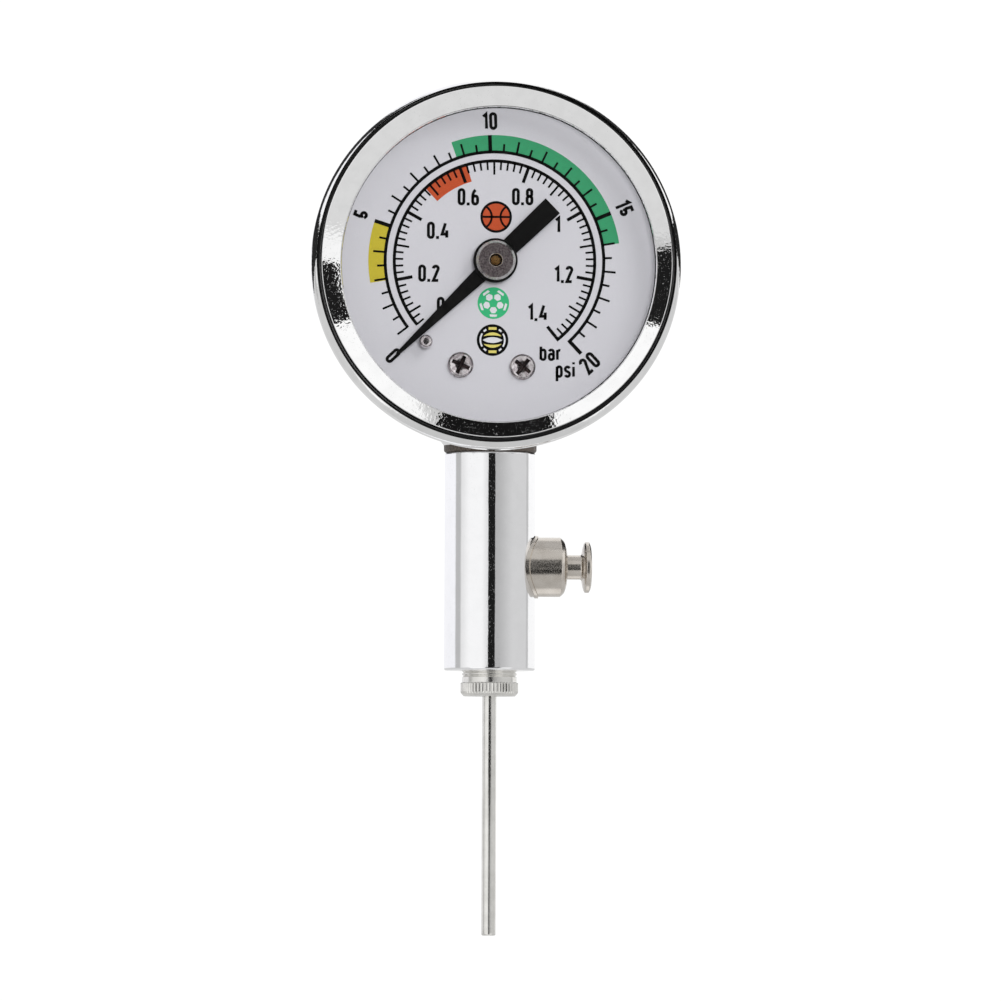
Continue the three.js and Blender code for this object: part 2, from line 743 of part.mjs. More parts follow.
// ---- Socket block: it carries the tube, the movement and the dial, and its neck goes into the stem ----
function socketBlock() {
  const footZ = DIAL_CENTRE_Z + MOVEMENT_SCREW.z;
  const ledgeFront = BACK_PLATE + PLATE_THICKNESS;
  const { halfWidth, bottom, top, front, back, ledgeTop, passage } = SOCKET;
  const body = joined(
    block([-halfWidth, front, bottom], [halfWidth, back, top]),
    block([-halfWidth + 1, ledgeFront, top - 1], [halfWidth - 1, back, ledgeTop]),
    turnedAboutZ(
      [
        [0, NECK.bottom],
        [NECK.radius, NECK.bottom],
        [NECK.radius, bottom + 1],
        [0, bottom + 1],
      ],
      24,
    ),
  );
  const tubeSlot = block(
    [-halfWidth - 1, TUBE.middle - TUBE.halfWidth - SEAT_GAP, DIAL_CENTRE_Z - 18.9],
    [-halfWidth + 1.2, TUBE.middle + TUBE.halfWidth + SEAT_GAP, DIAL_CENTRE_Z - 14],
  );
  const riser = turnedAboutZ(
    [
      [0, NECK.bottom - 1],
      [passage, NECK.bottom - 1],
      [passage, DIAL_CENTRE_Z - 15.6],
      [0, DIAL_CENTRE_Z - 15.6],
    ],
    10,
  );
  const crossDrill = turnedAboutX(
    [
      [0, -halfWidth],
      [passage, -halfWidth],
      [passage, 0.3],
      [0, 0.3],
    ],
    10,
  ).translate(0, TUBE.middle, DIAL_CENTRE_Z - 16.5);
  const dialHole = DIAL_SCREW.shank + RUNNING_GAP;
  const footHole = MOVEMENT_SCREW.shank + RUNNING_GAP;
  const dialHoles = dialScrews.map(([, [x, z]]) =>
    rodAlongY(dialHole, front - 1, front + 4, [x, DIAL_CENTRE_Z + z]),
  );
  const footHoles = [-1, 1].map((side) =>
    rodAlongY(footHole, ledgeFront - 1, ledgeFront + 3.6, [side * MOVEMENT_SCREW.x, footZ]),
  );
  return cut(body, tubeSlot, riser, crossDrill, ...dialHoles, ...footHoles);
}
addPart("socket_block", socketBlock(), brass);

// ---- Stem, saddle washer and gaskets ----
function stemBody() {
  const { radius, bottom, top, chamfer, passage } = STEM;
  const shell = turnedAboutZ(
    [
      [NEEDLE_BORE.radius, bottom],
      [radius - chamfer, bottom],
      [radius, bottom + chamfer],
      [radius, top - chamfer],
      [radius - chamfer, top],
      [STEM_TOP_BORE.radius, top],
      [STEM_TOP_BORE.radius, STEM_TOP_BORE.floor],
      [passage, STEM_TOP_BORE.floor],
      [passage, NEEDLE_BORE.ceiling],
      [NEEDLE_BORE.radius, NEEDLE_BORE.ceiling],
    ],
    32,
  );
  const sideBore = turnedAboutX(
    [
      [0, 0],
      [STEM_SIDE_BORE.seal, 0],
      [STEM_SIDE_BORE.seal, STEM_SIDE_BORE.step],
      [STEM_SIDE_BORE.tail, STEM_SIDE_BORE.step],
      [STEM_SIDE_BORE.tail, radius + 1],
      [0, radius + 1],
    ],
    24,
  ).translate(0, 0, VALVE.z);
  return cut(shell, sideBore);
}
addPart("stem_body", stemBody(), chrome);

function saddleWasher() {
  const washer = turnedAboutZ(
    [
      [SADDLE.hole, STEM.top],
      [SADDLE.foot, STEM.top],
      [SADDLE.radius, STEM.top + SADDLE.flare],
      [SADDLE.radius, SADDLE.top],
      [SADDLE.hole, SADDLE.top],
    ],
    40,
  );
  const caseSpace = rodAlongY(CASE.radius + SEAT_GAP, -20, 20, [0, CASE_CENTRE_Z], 64);
  return cut(washer, caseSpace);
}
addPart("saddle_washer", saddleWasher(), steel);

function flatRing(inner, outer, z0, z1) {
  return turnedAboutZ(
    [
      [inner, z0],
      [outer, z0],
      [outer, z1],
      [inner, z1],
    ],
    24,
  );
}
addPart("stem_gasket", flatRing(STEM.passage, NECK.radius, STEM_TOP_BORE.floor, NECK.bottom), fibre);

// ---- Bleed valve, turned about the X axis at its own height ----
const valveGroup = new THREE.Group();
valveGroup.position.z = VALVE.z;
root.add(valveGroup);

function valveBoss() {
  const outside = turnedAboutX(
    [
      [0, VALVE.tailStart],
      [VALVE.flange, VALVE.tailStart],
      [VALVE.flange, VALVE.flangeEnd - 0.3],
      [VALVE.radius, VALVE.flangeEnd],
      [VALVE.radius, VALVE.shoulderStart],
      [VALVE.radius - VALVE.shoulderDrop, VALVE.end - VALVE.shoulderDrop],
      [VALVE.faceRadius, VALVE.end],
      [0, VALVE.end],
    ],
    32,
  );
  const stemRadius = STEM.radius + SEAT_GAP;
  const stemSpace = new THREE.CylinderGeometry(stemRadius, stemRadius, 20, 48).rotateX(Math.PI / 2);
  const tail = turnedAboutX(
    [
      [0, VALVE.tailStart],
      [VALVE.tailRadius, VALVE.tailStart],
      [VALVE.tailRadius, VALVE.tailEnd],
      [0, VALVE.tailEnd],
    ],
    24,
  );
  const bore = turnedAboutX(
    [
      [0, VALVE.tailStart - 1],
      [VALVE_BORE.seatHole, VALVE.tailStart - 1],
      [VALVE_BORE.seatHole, VALVE_BORE.chamberStart],
      [VALVE_BORE.chamber, VALVE_BORE.chamberStart],
      [VALVE_BORE.chamber, VALVE_BORE.chamberEnd],
      [VALVE_BORE.mouth, VALVE_BORE.chamberEnd],
      [VALVE_BORE.mouth, VALVE.end + 1],
      [0, VALVE.end + 1],
    ],
    20,
  );
  return cut(joined(cut(outside, stemSpace), tail), bore);
}
addPart("valve_boss", valveBoss(), nickel, valveGroup);

addPart(
  "bleed_button",
  turnedAboutX(
    [
      [0, BUTTON.rodEnd],
      [BUTTON.rod, BUTTON.rodEnd],
      [BUTTON.rod, BUTTON.shankStart],
      [BUTTON.shank, BUTTON.shankStart],
      [BUTTON.shank, BUTTON.headStart - 0.5],
      [BUTTON.shank + 0.9, BUTTON.headStart],
      [BUTTON.head - 0.2, BUTTON.headStart],
      [BUTTON.head, BUTTON.headStart + 0.2],
      [BUTTON.head, BUTTON.end - 0.3],
      [BUTTON.head - 0.3, BUTTON.end],
      [0, BUTTON.end],
    ],
    28,
  ),
  nickel,
  valveGroup,
);

addPart(
  "bleed_seal",
  turnedAboutX(
    [
      [BUTTON.rod + 0.02, SEAL.start],
      [SEAL.radius, SEAL.start],
      [SEAL.radius, SEAL.start + SEAL.thickness],
      [BUTTON.rod + 0.02, SEAL.start + SEAL.thickness],
    ],
    20,
  ),
  rubber,
  valveGroup,
);

function coilSpring({ coilRadius, wire, turns, start, end }) {
  class Helix extends THREE.Curve {
    getPoint(t, target = new THREE.Vector3()) {
      const a = 2 * Math.PI * turns * t;
      return target.set(start + (end - start) * t, coilRadius * Math.cos(a), coilRadius * Math.sin(a));
    }
  }
  const section = new THREE.Shape(circleOutline(wire, 5).map(([x, y]) => new THREE.Vector2(x, y)));
  const steps = turns * 10;
  return new THREE.ExtrudeGeometry(section, { steps, extrudePath: new Helix(), bevelEnabled: false });
}
addPart("bleed_spring", coilSpring(BLEED_SPRING), steel, valveGroup);

// ---- Needle: a threaded, knurled collar with a tube fixed in it ----
function needleCollar() {
  const { radius, height, thread, threadRoot, shankTop } = COLLAR;
  const profile = [
    [NEEDLE.radius + 0.02, 0],
    [radius - 0.2, 0],
    [radius, 0.2],
    [radius, height - 0.2],
    [radius - 0.2, height],
    [threadRoot, height],
  ];
  for (let i = 0; i < 2; i++) {
    const start = height + 0.1 + THREAD_PITCH * i;
    profile.push([threadRoot, start], [thread, start + 0.3], [thread, start + 0.5]);
    profile.push([threadRoot, start + THREAD_PITCH - 0.05]);
  }
  const shankStart = height + 0.1 + THREAD_PITCH * 2;
  profile.push([thread, shankStart + 0.2], [thread, shankTop - 0.3], [thread - 0.3, shankTop]);
  profile.push([NEEDLE.bore, shankTop], [NEEDLE.bore, NEEDLE.top], [NEEDLE.radius + 0.02, NEEDLE.top]);
  return turnedAboutZ(profile, 24);
}
addPart("needle_collar", needleCollar(), nickel);

addPart(
  "needle_tube",
  turnedAboutZ(
    [
      [NEEDLE.bore, NEEDLE.tip],
      [NEEDLE.radius - 0.3, NEEDLE.tip],
      [NEEDLE.radius, NEEDLE.tip + 0.3],
      [NEEDLE.radius, NEEDLE.top],
      [NEEDLE.bore, NEEDLE.top],
    ],
    20,
  ),
  nickel,
);
addPart(
  "needle_washer",
  flatRing(STEM.passage, COLLAR.thread - 0.1, COLLAR.shankTop, COLLAR.shankTop + WASHER_HEIGHT),
  rubber,
);

export default root;
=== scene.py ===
import math

import bmesh
import bpy
from mathutils import Matrix, Vector


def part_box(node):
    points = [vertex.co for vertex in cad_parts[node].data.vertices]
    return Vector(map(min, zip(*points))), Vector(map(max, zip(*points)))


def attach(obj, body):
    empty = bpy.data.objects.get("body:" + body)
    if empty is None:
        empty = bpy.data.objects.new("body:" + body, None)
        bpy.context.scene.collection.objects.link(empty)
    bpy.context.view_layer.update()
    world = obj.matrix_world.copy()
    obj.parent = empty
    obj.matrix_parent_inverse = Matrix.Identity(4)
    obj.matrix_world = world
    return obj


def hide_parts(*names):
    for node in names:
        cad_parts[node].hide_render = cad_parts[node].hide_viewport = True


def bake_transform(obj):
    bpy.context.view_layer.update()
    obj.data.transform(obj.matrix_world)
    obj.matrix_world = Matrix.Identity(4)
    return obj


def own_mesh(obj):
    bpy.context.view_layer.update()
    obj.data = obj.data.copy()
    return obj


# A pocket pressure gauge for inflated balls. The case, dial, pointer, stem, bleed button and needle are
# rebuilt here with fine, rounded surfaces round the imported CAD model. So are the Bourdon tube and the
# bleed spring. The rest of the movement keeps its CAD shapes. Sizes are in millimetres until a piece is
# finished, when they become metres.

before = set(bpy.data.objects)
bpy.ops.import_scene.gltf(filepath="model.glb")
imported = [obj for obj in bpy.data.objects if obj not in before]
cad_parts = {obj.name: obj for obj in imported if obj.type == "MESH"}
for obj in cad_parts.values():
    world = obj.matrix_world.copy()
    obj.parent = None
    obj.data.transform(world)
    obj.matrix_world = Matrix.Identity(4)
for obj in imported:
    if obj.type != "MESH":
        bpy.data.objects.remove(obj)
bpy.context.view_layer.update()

MM = 0.001
TURN = 2 * math.pi
# Facets round a turned piece, from the largest to the smallest.
AROUND = 192
BOSS_FACETS = 128
CAP_FACETS = 96
FINE = 64
CORNER_STEPS = 6  # facets along a rounded corner
SHARP = 32  # degrees between faces from which an edge is shaded sharp


def node_box(node):
    low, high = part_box(node)
    return low / MM, high / MM


def front_back(node):
    """Heights in front of the stem's axis, so that a larger one is nearer the viewer."""
    low, high = node_box(node)
    return -low.y, -high.y


# ---- Places and sizes that the CAD model gives ----
case_low, case_high = node_box("case_cup")
dial_low, dial_high = node_box("dial_plate")
stem_low, stem_high = node_box("stem_body")
saddle_low, saddle_high = node_box("saddle_washer")
boss_low, boss_high = node_box("valve_boss")
button_low, button_high = node_box("bleed_button")
spring_low, spring_high = node_box("bleed_spring")
collar_low, collar_high = node_box("needle_collar")
needle_low, needle_high = node_box("needle_tube")

CASE_Z = (case_low.z + case_high.z) / 2
DIAL_Z = (dial_low.z + dial_high.z) / 2
BOSS_Z = (boss_low.z + boss_high.z) / 2

RIM_FRONT, CASE_BACK = front_back("case_cup")
BEZEL_FRONT, BEZEL_BACK = front_back("bezel_ring")
LENS_FRONT, LENS_BACK = front_back("lens")
DIAL_FACE = front_back("dial_plate")[0]
DIAL_THICKNESS = 0.6
DIAL_BACK = DIAL_FACE - DIAL_THICKNESS
HUB_FRONT, HUB_BACK = front_back("pointer_hub")
POINTER_BACK = front_back("pointer")[1]

RIM_RADIUS = (case_high.x - case_low.x) / 2
BEZEL_RADIUS = 25.1
STEM_RADIUS = (stem_high.x - stem_low.x) / 2
STEM_SINK = 0.13
STEM_TOP = stem_high.z - STEM_SINK  # the stem's end and the saddle's foot are a little below their CAD

# ---- Frames that turned pieces are made in: local Z is the axis they are turned about ----
HEAD = Matrix(((1, 0, 0, 0), (0, 0, -1, 0), (0, 1, 0, CASE_Z), (0, 0, 0, 1)))
DIAL = Matrix(((1, 0, 0, 0), (0, 0, -1, 0), (0, 1, 0, DIAL_Z), (0, 0, 0, 1)))
SIDE = Matrix(((0, 0, 1, 0), (1, 0, 0, 0), (0, 1, 0, BOSS_Z), (0, 0, 0, 1)))
UPRIGHT = Matrix.Identity(4)


# ---- Shader helpers ----
class Shader:
    """A node tree with short calls for the nodes that the materials and the studio share."""

    def __init__(self, tree):
        self.tree = tree
        tree.nodes.clear()

    def add(self, kind, settings=None, **inputs):
        node = self.tree.nodes.new(kind)
        for name, value in (settings or {}).items():
            setattr(node, name, value)
        for name, value in inputs.items():
            self.put(node.inputs[name.replace("_", " ")], value)
        return node

    def put(self, socket, value):
        if isinstance(value, bpy.types.NodeSocket):
            self.tree.links.new(value, socket)
        else:
            socket.default_value = value

    def math(self, operation, first, second=0.0):
        node = self.tree.nodes.new("ShaderNodeMath")
        node.operation = operation
        self.put(node.inputs[0], first)
        self.put(node.inputs[1], second)
        return node.outputs[0]

    def ramp(self, value, low, high, to_low=0.0, to_high=1.0):
        node = self.tree.nodes.new("ShaderNodeMapRange")
        node.interpolation_type = "SMOOTHSTEP"
        self.put(node.inputs["Value"], value)
        limits = {"From Min": low, "From Max": high, "To Min": to_low, "To Max": to_high}
        for name, number in limits.items():
            self.put(node.inputs[name], number)
        return node.outputs["Result"]

    def mix(self, factor, first, second):
        node = self.tree.nodes.new("ShaderNodeMix")
        node.data_type = "RGBA"
        self.put(node.inputs["Factor"], factor)
        self.put(node.inputs[6], first)
        self.put(node.inputs[7], second)
        return node.outputs[2]

    def noise(self, size_mm, detail=3.0, stretch=(1, 1, 1)):
        """Noise in the piece's own space, with features of about that size."""
        place = self.add("ShaderNodeTexCoord").outputs["Object"]
        mapped = self.add("ShaderNodeMapping", Vector=place)
        mapped.inputs["Scale"].default_value = stretch
        scale = 1 / (size_mm * MM)
        node = self.add("ShaderNodeTexNoise", Vector=mapped.outputs[0], Scale=scale, Detail=detail)
        return node.outputs["Fac"]

    def bump(self, height, depth_mm):
        node = self.add("ShaderNodeBump", Height=height, Distance=depth_mm * MM, Strength=1.0)
        return node.outputs[0]

    def finish(self, kind="ShaderNodeBsdfPrincipled", **inputs):
        surface = self.add(kind, **inputs)
        self.add("ShaderNodeOutputMaterial", Surface=surface.outputs[0])


def material(name):
    made = bpy.data.materials.new(name)
    made.use_nodes = True
    return made, Shader(made.node_tree)


def grey(value):
    return (value, value, value, 1.0)


PIT_SIZE = 0.2  # millimetres across one dull speck in bright metal


def metal(
    name, colour, dark, roughness, grain_mm, depth_mm, stretch=(1, 1, 1), cloud_mm=2.0, detail=3.0, pits=0.0
):
    """A metal whose gloss and surface vary with a fine grain, and its colour with broader clouds. pits is
    the roughness of the small dull specks that cast and plated metal has."""
    made, s = material(name)
    grain = s.noise(grain_mm, detail, stretch)
    clouds = s.noise(cloud_mm, detail=2.0)
    gloss = s.ramp(grain, 0.3, 0.7, roughness * 0.75, roughness * 1.3)
    if pits:
        gloss = s.math("MAXIMUM", gloss, s.ramp(s.noise(PIT_SIZE, detail=1.0), 0.6, 0.72, 0.0, pits))
    s.finish(
        Base_Color=s.mix(s.ramp(clouds, 0.35, 0.7), (*colour, 1), (*dark, 1)),
        Roughness=gloss,
        Metallic=1.0,
        Normal=s.bump(grain, depth_mm),
    )
    return made


def paint(name, colour, dark, roughness, grain_mm, depth_mm=0.002, shine=0.25):
    """An opaque paint, ink, rubber or fibre with a fine mottle."""
    made, s = material(name)
    grain = s.noise(grain_mm)
    s.finish(
        Base_Color=s.mix(s.ramp(grain, 0.35, 0.65), (*colour, 1), (*dark, 1)),
        Roughness=s.ramp(grain, 0.3, 0.7, roughness * 0.9, min(roughness * 1.1, 1)),
        Normal=s.bump(grain, depth_mm),
        Specular_IOR_Level=shine,
    )
    return made


def glass(name):
    made, s = material(name)
    smears = s.ramp(s.noise(4.0), 0.4, 0.8, 0.0, 0.015)
    s.finish(Base_Color=grey(1.0), Roughness=smears, IOR=1.45, Transmission_Weight=1.0)
    return made


# Each metal has its clean and its dull colour, roughness, size of grain and depth of grain.
PLATED, PLATED_DULL = (0.95, 0.95, 0.96), (0.93, 0.93, 0.94)
DRAWN = (1, 1, 0.12)  # stretches the grain along the stem
CHROME = metal("chrome", PLATED, PLATED_DULL, 0.035, 0.35, 0.0012)
STEM_CHROME = metal("stem chrome", PLATED, PLATED_DULL, 0.05, 0.5, 0.003, DRAWN, pits=0.22)
BEZEL_CHROME = metal(
    "bezel chrome", (0.95, 0.95, 0.95), (0.91, 0.91, 0.91), 0.02, 0.42, 0.011, detail=1.0, pits=0.25
)
NICKEL = metal("nickel", (0.70, 0.655, 0.60), (0.62, 0.575, 0.52), 0.2, 0.16, 0.003)
PALE_NICKEL = metal("pale nickel", (0.84, 0.83, 0.80), (0.76, 0.75, 0.72), 0.18, 0.2, 0.001)
STEEL = metal("steel", (0.82, 0.78, 0.79), (0.46, 0.41, 0.43), 0.17, 0.15, 0.002, cloud_mm=0.6)
# Painted shade: a dark steel for the walls and floor of the screws' cross recesses, standing for the shade
# inside them.
RECESS_SHADE_STEEL = metal("steel painted with the recess's shade", (0.15, 0.115, 0.115), (0.06, 0.046, 0.046), 0.35, 0.15, 0.004)
HUB_METAL = metal("hub metal", (0.30, 0.26, 0.265), (0.12, 0.10, 0.105), 0.36, 0.1, 0.02, cloud_mm=0.2)
BRASS = metal("brass", (0.62, 0.38, 0.16), (0.44, 0.25, 0.09), 0.3, 0.15, 0.004)
BRONZE = metal("phosphor bronze", (0.66, 0.42, 0.24), (0.50, 0.29, 0.15), 0.28, 0.15, 0.003)
BLACK = paint("black paint", (0.0035, 0.0035, 0.0035), (0.006, 0.006, 0.006), 0.5, 0.12, 0.004, 0.12)
INK = paint("dial ink", (0.003, 0.003, 0.003), (0.005, 0.005, 0.005), 0.6, 0.1, shine=0.08)
DIAL_WHITE = paint("dial enamel", (0.66, 0.655, 0.695), (0.64, 0.635, 0.675), 0.5, 0.3)
GREEN = paint("green ink", (0.046, 0.35, 0.16), (0.052, 0.31, 0.145), 0.6, 0.12)
YELLOW = paint("yellow ink", (0.60, 0.50, 0.048), (0.52, 0.43, 0.04), 0.6, 0.12)
PALE_YELLOW = paint("pale yellow ink", (0.78, 0.70, 0.20), (0.72, 0.62, 0.15), 0.6, 0.12)
MARK_GREEN = paint("pale green ink", (0.045, 0.50, 0.215), (0.05, 0.45, 0.19), 0.6, 0.12)
RED = paint("red ink", (0.56, 0.092, 0.033), (0.49, 0.08, 0.028), 0.6, 0.12)
WHITE = paint("white ink", (0.76, 0.76, 0.80), (0.72, 0.72, 0.76), 0.6, 0.12)
TAUPE = paint("saddle fibre", (0.13, 0.105, 0.09), (0.06, 0.05, 0.04), 0.45, 0.25, 0.01)
RUBBER = paint("rubber", (0.012, 0.012, 0.013), (0.02, 0.02, 0.02), 0.8, 0.2, 0.01)
FIBRE = paint("red fibre", (0.26, 0.045, 0.025), (0.19, 0.03, 0.018), 0.75, 0.2, 0.01)
CLEAR = glass("lens glass")


# ---- Outline helpers: outlines are lists of (across, along) points in millimetres ----
def rounded(corners, steps=CORNER_STEPS):
    """An outline from corners given as (across, along, corner radius), with each corner radius an arc."""
    outline = []
    for i, (across, along, radius) in enumerate(corners):
        here = Vector((across, along))
        if not radius:
            outline.append(here)
            continue
        before = (Vector(corners[i - 1][:2]) - here).normalized()
        after = (Vector(corners[(i + 1) % len(corners)][:2]) - here).normalized()
        half = before.angle(after) / 2
        centre = here + (before + after).normalized() * (radius / math.sin(half))
        first = here + before * (radius / math.tan(half)) - centre
        last = here + after * (radius / math.tan(half)) - centre
        for k in range(steps + 1):
            outline.append(centre + first.lerp(last, k / steps).normalized() * radius)
    return outline


def arc(centre, radius, start, end, steps=12, squash=1.0):
    """Points along an arc, in degrees counter-clockwise from the local X axis."""
    angles = [math.radians(start + (end - start) * k / steps) for k in range(steps + 1)]
    return [
        (centre[0] + radius * math.cos(a), centre[1] + radius * squash * math.sin(a))
        for a in angles
    ]


def clock(radius, degrees):
    """A place on the dial by its angle clockwise from the top."""
    a = math.radians(degrees)
    return (radius * math.sin(a), radius * math.cos(a))


# ---- Mesh helpers ----
def supported(outline, long=0.3, near=0.05):
    """Adds a point close to each end of a long straight side, so that it keeps its own shading."""
    points = [Vector(p) for p in outline]
    full = []
    for here, there in zip(points, points[1:] + points[:1]):
        full.append(here)
        step = there - here
        if step.length > long:
            full += [here + step.normalized() * near, there - step.normalized() * near]
    return full


ON_AXIS = 1e-6


def revolve(bm, outline, segments, ridges=0, ridge_depth=None):
    """Turns a closed outline of (radius, height) about local Z. Points on the axis become poles.
    ridge_depth gives how deep the grooves between ridges are at each height."""
    rings = []
    for radius, height in supported(outline):
        if radius < ON_AXIS:
            rings.append([bm.verts.new((0, 0, height))])
            continue
        ring = []
        for k in range(segments):
            a = TURN * k / segments
            r = radius
            if ridges:
                r -= ridge_depth(radius, height) * (1 - abs(math.cos(ridges * a / 2)))
            ring.append(bm.verts.new((r * math.cos(a), r * math.sin(a), height)))
        rings.append(ring)
    for ring, other in zip(rings, rings[1:] + rings[:1]):
        for k in range(segments):
            corners = (
                ring[k % len(ring)],
                ring[(k + 1) % len(ring)],
                other[(k + 1) % len(other)],
                other[k % len(other)],
            )
            unlike = list(dict.fromkeys(corners))
            if len(unlike) > 2:
                bm.faces.new(unlike)


def skin(bm, rings):
    """Joins each ring of vertices to the next."""
    for one, two in zip(rings, rings[1:]):
        for k in range(len(one)):
            n = (k + 1) % len(one)
            bm.faces.new((one[k], one[n], two[n], two[k]))


def ribbon(bm, line, width, low, high, closed=False, slot=0):
    """A flat band of even width along a line of points, from one height to another."""
    points = [Vector(p) for p in line]
    count = len(points)
    quads = []
    for i, here in enumerate(points):
        before = points[i - 1] if closed or i else None
        after = points[(i + 1) % count] if closed or i < count - 1 else None
        sideways = [
            (end - start).orthogonal().normalized()
            for start, end in ((before, here), (here, after))
            if start is not None and end is not None
        ]
        middle = sum(sideways, Vector((0, 0))).normalized()
        reach = middle * (width / 2 / max(middle.dot(sideways[0]), 0.5))
        corners = ((here + reach, low), (here - reach, low), (here - reach, high), (here + reach, high))
        quads.append([bm.verts.new((p.x, p.y, z)) for p, z in corners])
    for i in range(count if closed else count - 1):
        one, two = quads[i], quads[(i + 1) % count]
        for k in range(4):
            face = bm.faces.new((one[k], one[(k + 1) % 4], two[(k + 1) % 4], two[k]))
            face.material_index = slot
    if not closed:
        for end in (quads[0], quads[-1]):
            bm.faces.new(end).material_index = slot


def prism(bm, outline, low, high, slot=0):
    """A plate with that outline, from one height to another."""
    bottom = [bm.verts.new((x, y, low)) for x, y in outline]
    top = [bm.verts.new((x, y, high)) for x, y in outline]
    bm.faces.new(bottom).material_index = slot
    bm.faces.new(top).material_index = slot
    for i in range(len(outline)):
        k = (i + 1) % len(outline)
        bm.faces.new((bottom[i], bottom[k], top[k], top[i])).material_index = slot


def disc(bm, centre, radius, low, high, slot=0):
    prism(bm, arc(centre, radius, 0, 360 - 360 / FINE, FINE - 1), low, high, slot)


def refinish(bm, finish, chosen):
    """Gives another of the piece's finishes to the faces that are chosen by their radius and height."""
    for face in bm.faces:
        place = face.calc_center_median()
        if chosen(math.hypot(place.x, place.y), place.z):
            face.material_index = finish


def hide_from(made, *rays):
    for ray in rays:
        setattr(made, "visible_" + ray, False)


def smooth(mesh, sharp):
    mesh.shade_smooth()
    mesh.set_sharp_from_angle(angle=math.radians(sharp))


def make_object(name, bm, place, materials, sharp=SHARP):
    bmesh.ops.recalc_face_normals(bm, faces=bm.faces)
    mesh = bpy.data.meshes.new(name)
    bm.to_mesh(mesh)
    bm.free()
    mesh.transform(Matrix.Scale(MM, 4) @ place)
    smooth(mesh, sharp)
    for finish in materials:
        mesh.materials.append(finish)
    made = bpy.data.objects.new(name, mesh)
    bpy.context.collection.objects.link(made)
    return made


def piece(name, bm, place, materials, replaced=(), body="gauge", sharp=SHARP):
    made = make_object(name, bm, place, materials, sharp)
    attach(made, body)
    if replaced:
        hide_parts(*replaced)
    return made


def turned(name, corners, facets, place, finish, replaced, body="gauge", at=(0, 0)):
    """A piece turned from corners given as (radius, height, corner radius), with its axis at that place."""
    bm = bmesh.new()
    revolve(bm, rounded(corners), facets)
    bm.transform(Matrix.Translation((*at, 0)))
    return piece(name, bm, place, [finish], replaced, body)


def cut_away(made, *cutters):
    """Cuts other objects out of a piece and deletes them."""
    for other in cutters:
        cut = made.modifiers.new("cut", "BOOLEAN")
        cut.operation = "DIFFERENCE"
        cut.solver = "EXACT"
        cut.object = other
    graph = bpy.context.evaluated_depsgraph_get()
    made.data = bpy.data.meshes.new_from_object(made.evaluated_get(graph))
    made.modifiers.clear()
    smooth(made.data, SHARP)
    for other in cutters:
        bpy.data.objects.remove(other)


def tube(inner, outer, low, high):
    """The outline of a plain tube, or of a rod where the inner radius is 0."""
    return [(inner, low), (outer, low), (outer, high), (inner, high)]


def cutter(outline, place, facets=AROUND):
    bm = bmesh.new()
    revolve(bm, outline, facets)
    return make_object("cutter", bm, place, [])


# ---- Case, bezel, lens and dial ----
CASE_RADIUS = 24.9
CASE_WALL = 0.9
CASE_CORNER = 3
BEAD_BACK = 7.8
RIM_BORE = 25.6
RIM_EDGE = (0.12, 0.15)  # width and depth of the small bevel inside the rim
RIM_SHIFT = -0.32  # how far up the rim's outside is shifted
BEZEL_SEAT = 9.6
BEZEL_SKIRT = 0.4  # thickness of the bezel's inner wall
BEZEL_LIP = 22.45
LIP_SHIFT = (0.2, -0.45)  # how far right and up the bezel's lip is shifted
CONE_DROP = 0.81  # how far the bezel's conical face falls back from the lip to its edge
CONE_BEND = (1.25, 0.345, 24)  # out from the lip, back from the front, and the radius of its slight bend
SEAM = (0.07, 0.15)  # width and height of the dark seam between the lip and the glass
LENS_RADIUS = 24.7
SPINDLE_HOLE = 1.4
NEAR = 0.02  # how close a face's middle has to be to a surface to be taken as part of it


def push(bm, still, full, across, along):
    """Makes a ring slightly eccentric: nothing moves at one radius, and all of it at the other."""
    for point in bm.verts:
        part = (math.hypot(point.co.x, point.co.y) - still) / (full - still)
        part = min(max(part, 0.0), 1.0)
        point.co.x += across * part
        point.co.y += along * part


def case_shell():
    """A deep drawn cup whose mouth is swaged out into a rounded rim that the bezel snaps into."""
    middle = (BEAD_BACK + RIM_FRONT) / 2
    half = (RIM_FRONT - BEAD_BACK) / 2
    bulge = RIM_RADIUS - CASE_RADIUS
    start, sweep, steps = 12, 136, 20
    angles = [math.radians(start + sweep * k / steps) for k in range(steps + 1)]
    bead = [(CASE_RADIUS + bulge * math.sin(a), middle - half * math.cos(a)) for a in angles]
    inside = CASE_RADIUS - CASE_WALL
    back = rounded(
        [(0, CASE_BACK, 0), (CASE_RADIUS, CASE_BACK, CASE_CORNER), (CASE_RADIUS, BEAD_BACK, 0.25)]
    )
    del back[-(CORNER_STEPS + 1) :]  # the bead takes the place of the last corner
    front = [
        (RIM_BORE + RIM_EDGE[0], RIM_FRONT, 0),
        (RIM_BORE, RIM_FRONT - RIM_EDGE[1], 0),
        (RIM_BORE, BEZEL_SEAT, 0),
        (inside, BEZEL_SEAT, 0.1),
        (inside, CASE_BACK + CASE_WALL, CASE_CORNER - CASE_WALL),
        (0, CASE_BACK + CASE_WALL, 0),
    ]
    bm = bmesh.new()
    revolve(bm, back + bead + rounded(front), AROUND)
    # painted shade: black on the rim's wall inside the groove
    paint_groove_shade(bm, RIM_BORE)
    refinish(bm, 2, lambda radius, height: radius < CASE_RADIUS + NEAR or height < BEAD_BACK)
    push(bm, RIM_BORE + 0.1, RIM_RADIUS - 0.2, 0, RIM_SHIFT)
    made = piece("case_shell", bm, HEAD, [BEZEL_CHROME, BLACK, CHROME], ["case_cup"])
    hide_from(made, "shadow")


def paint_groove_shade(bm, wall):
    """Painted shade: black paint, the second finish, on the wall of the narrow gap between rim and bezel.
    """
    refinish(bm, 1, lambda radius, height: abs(radius - wall) < NEAR and height > BEZEL_SEAT)


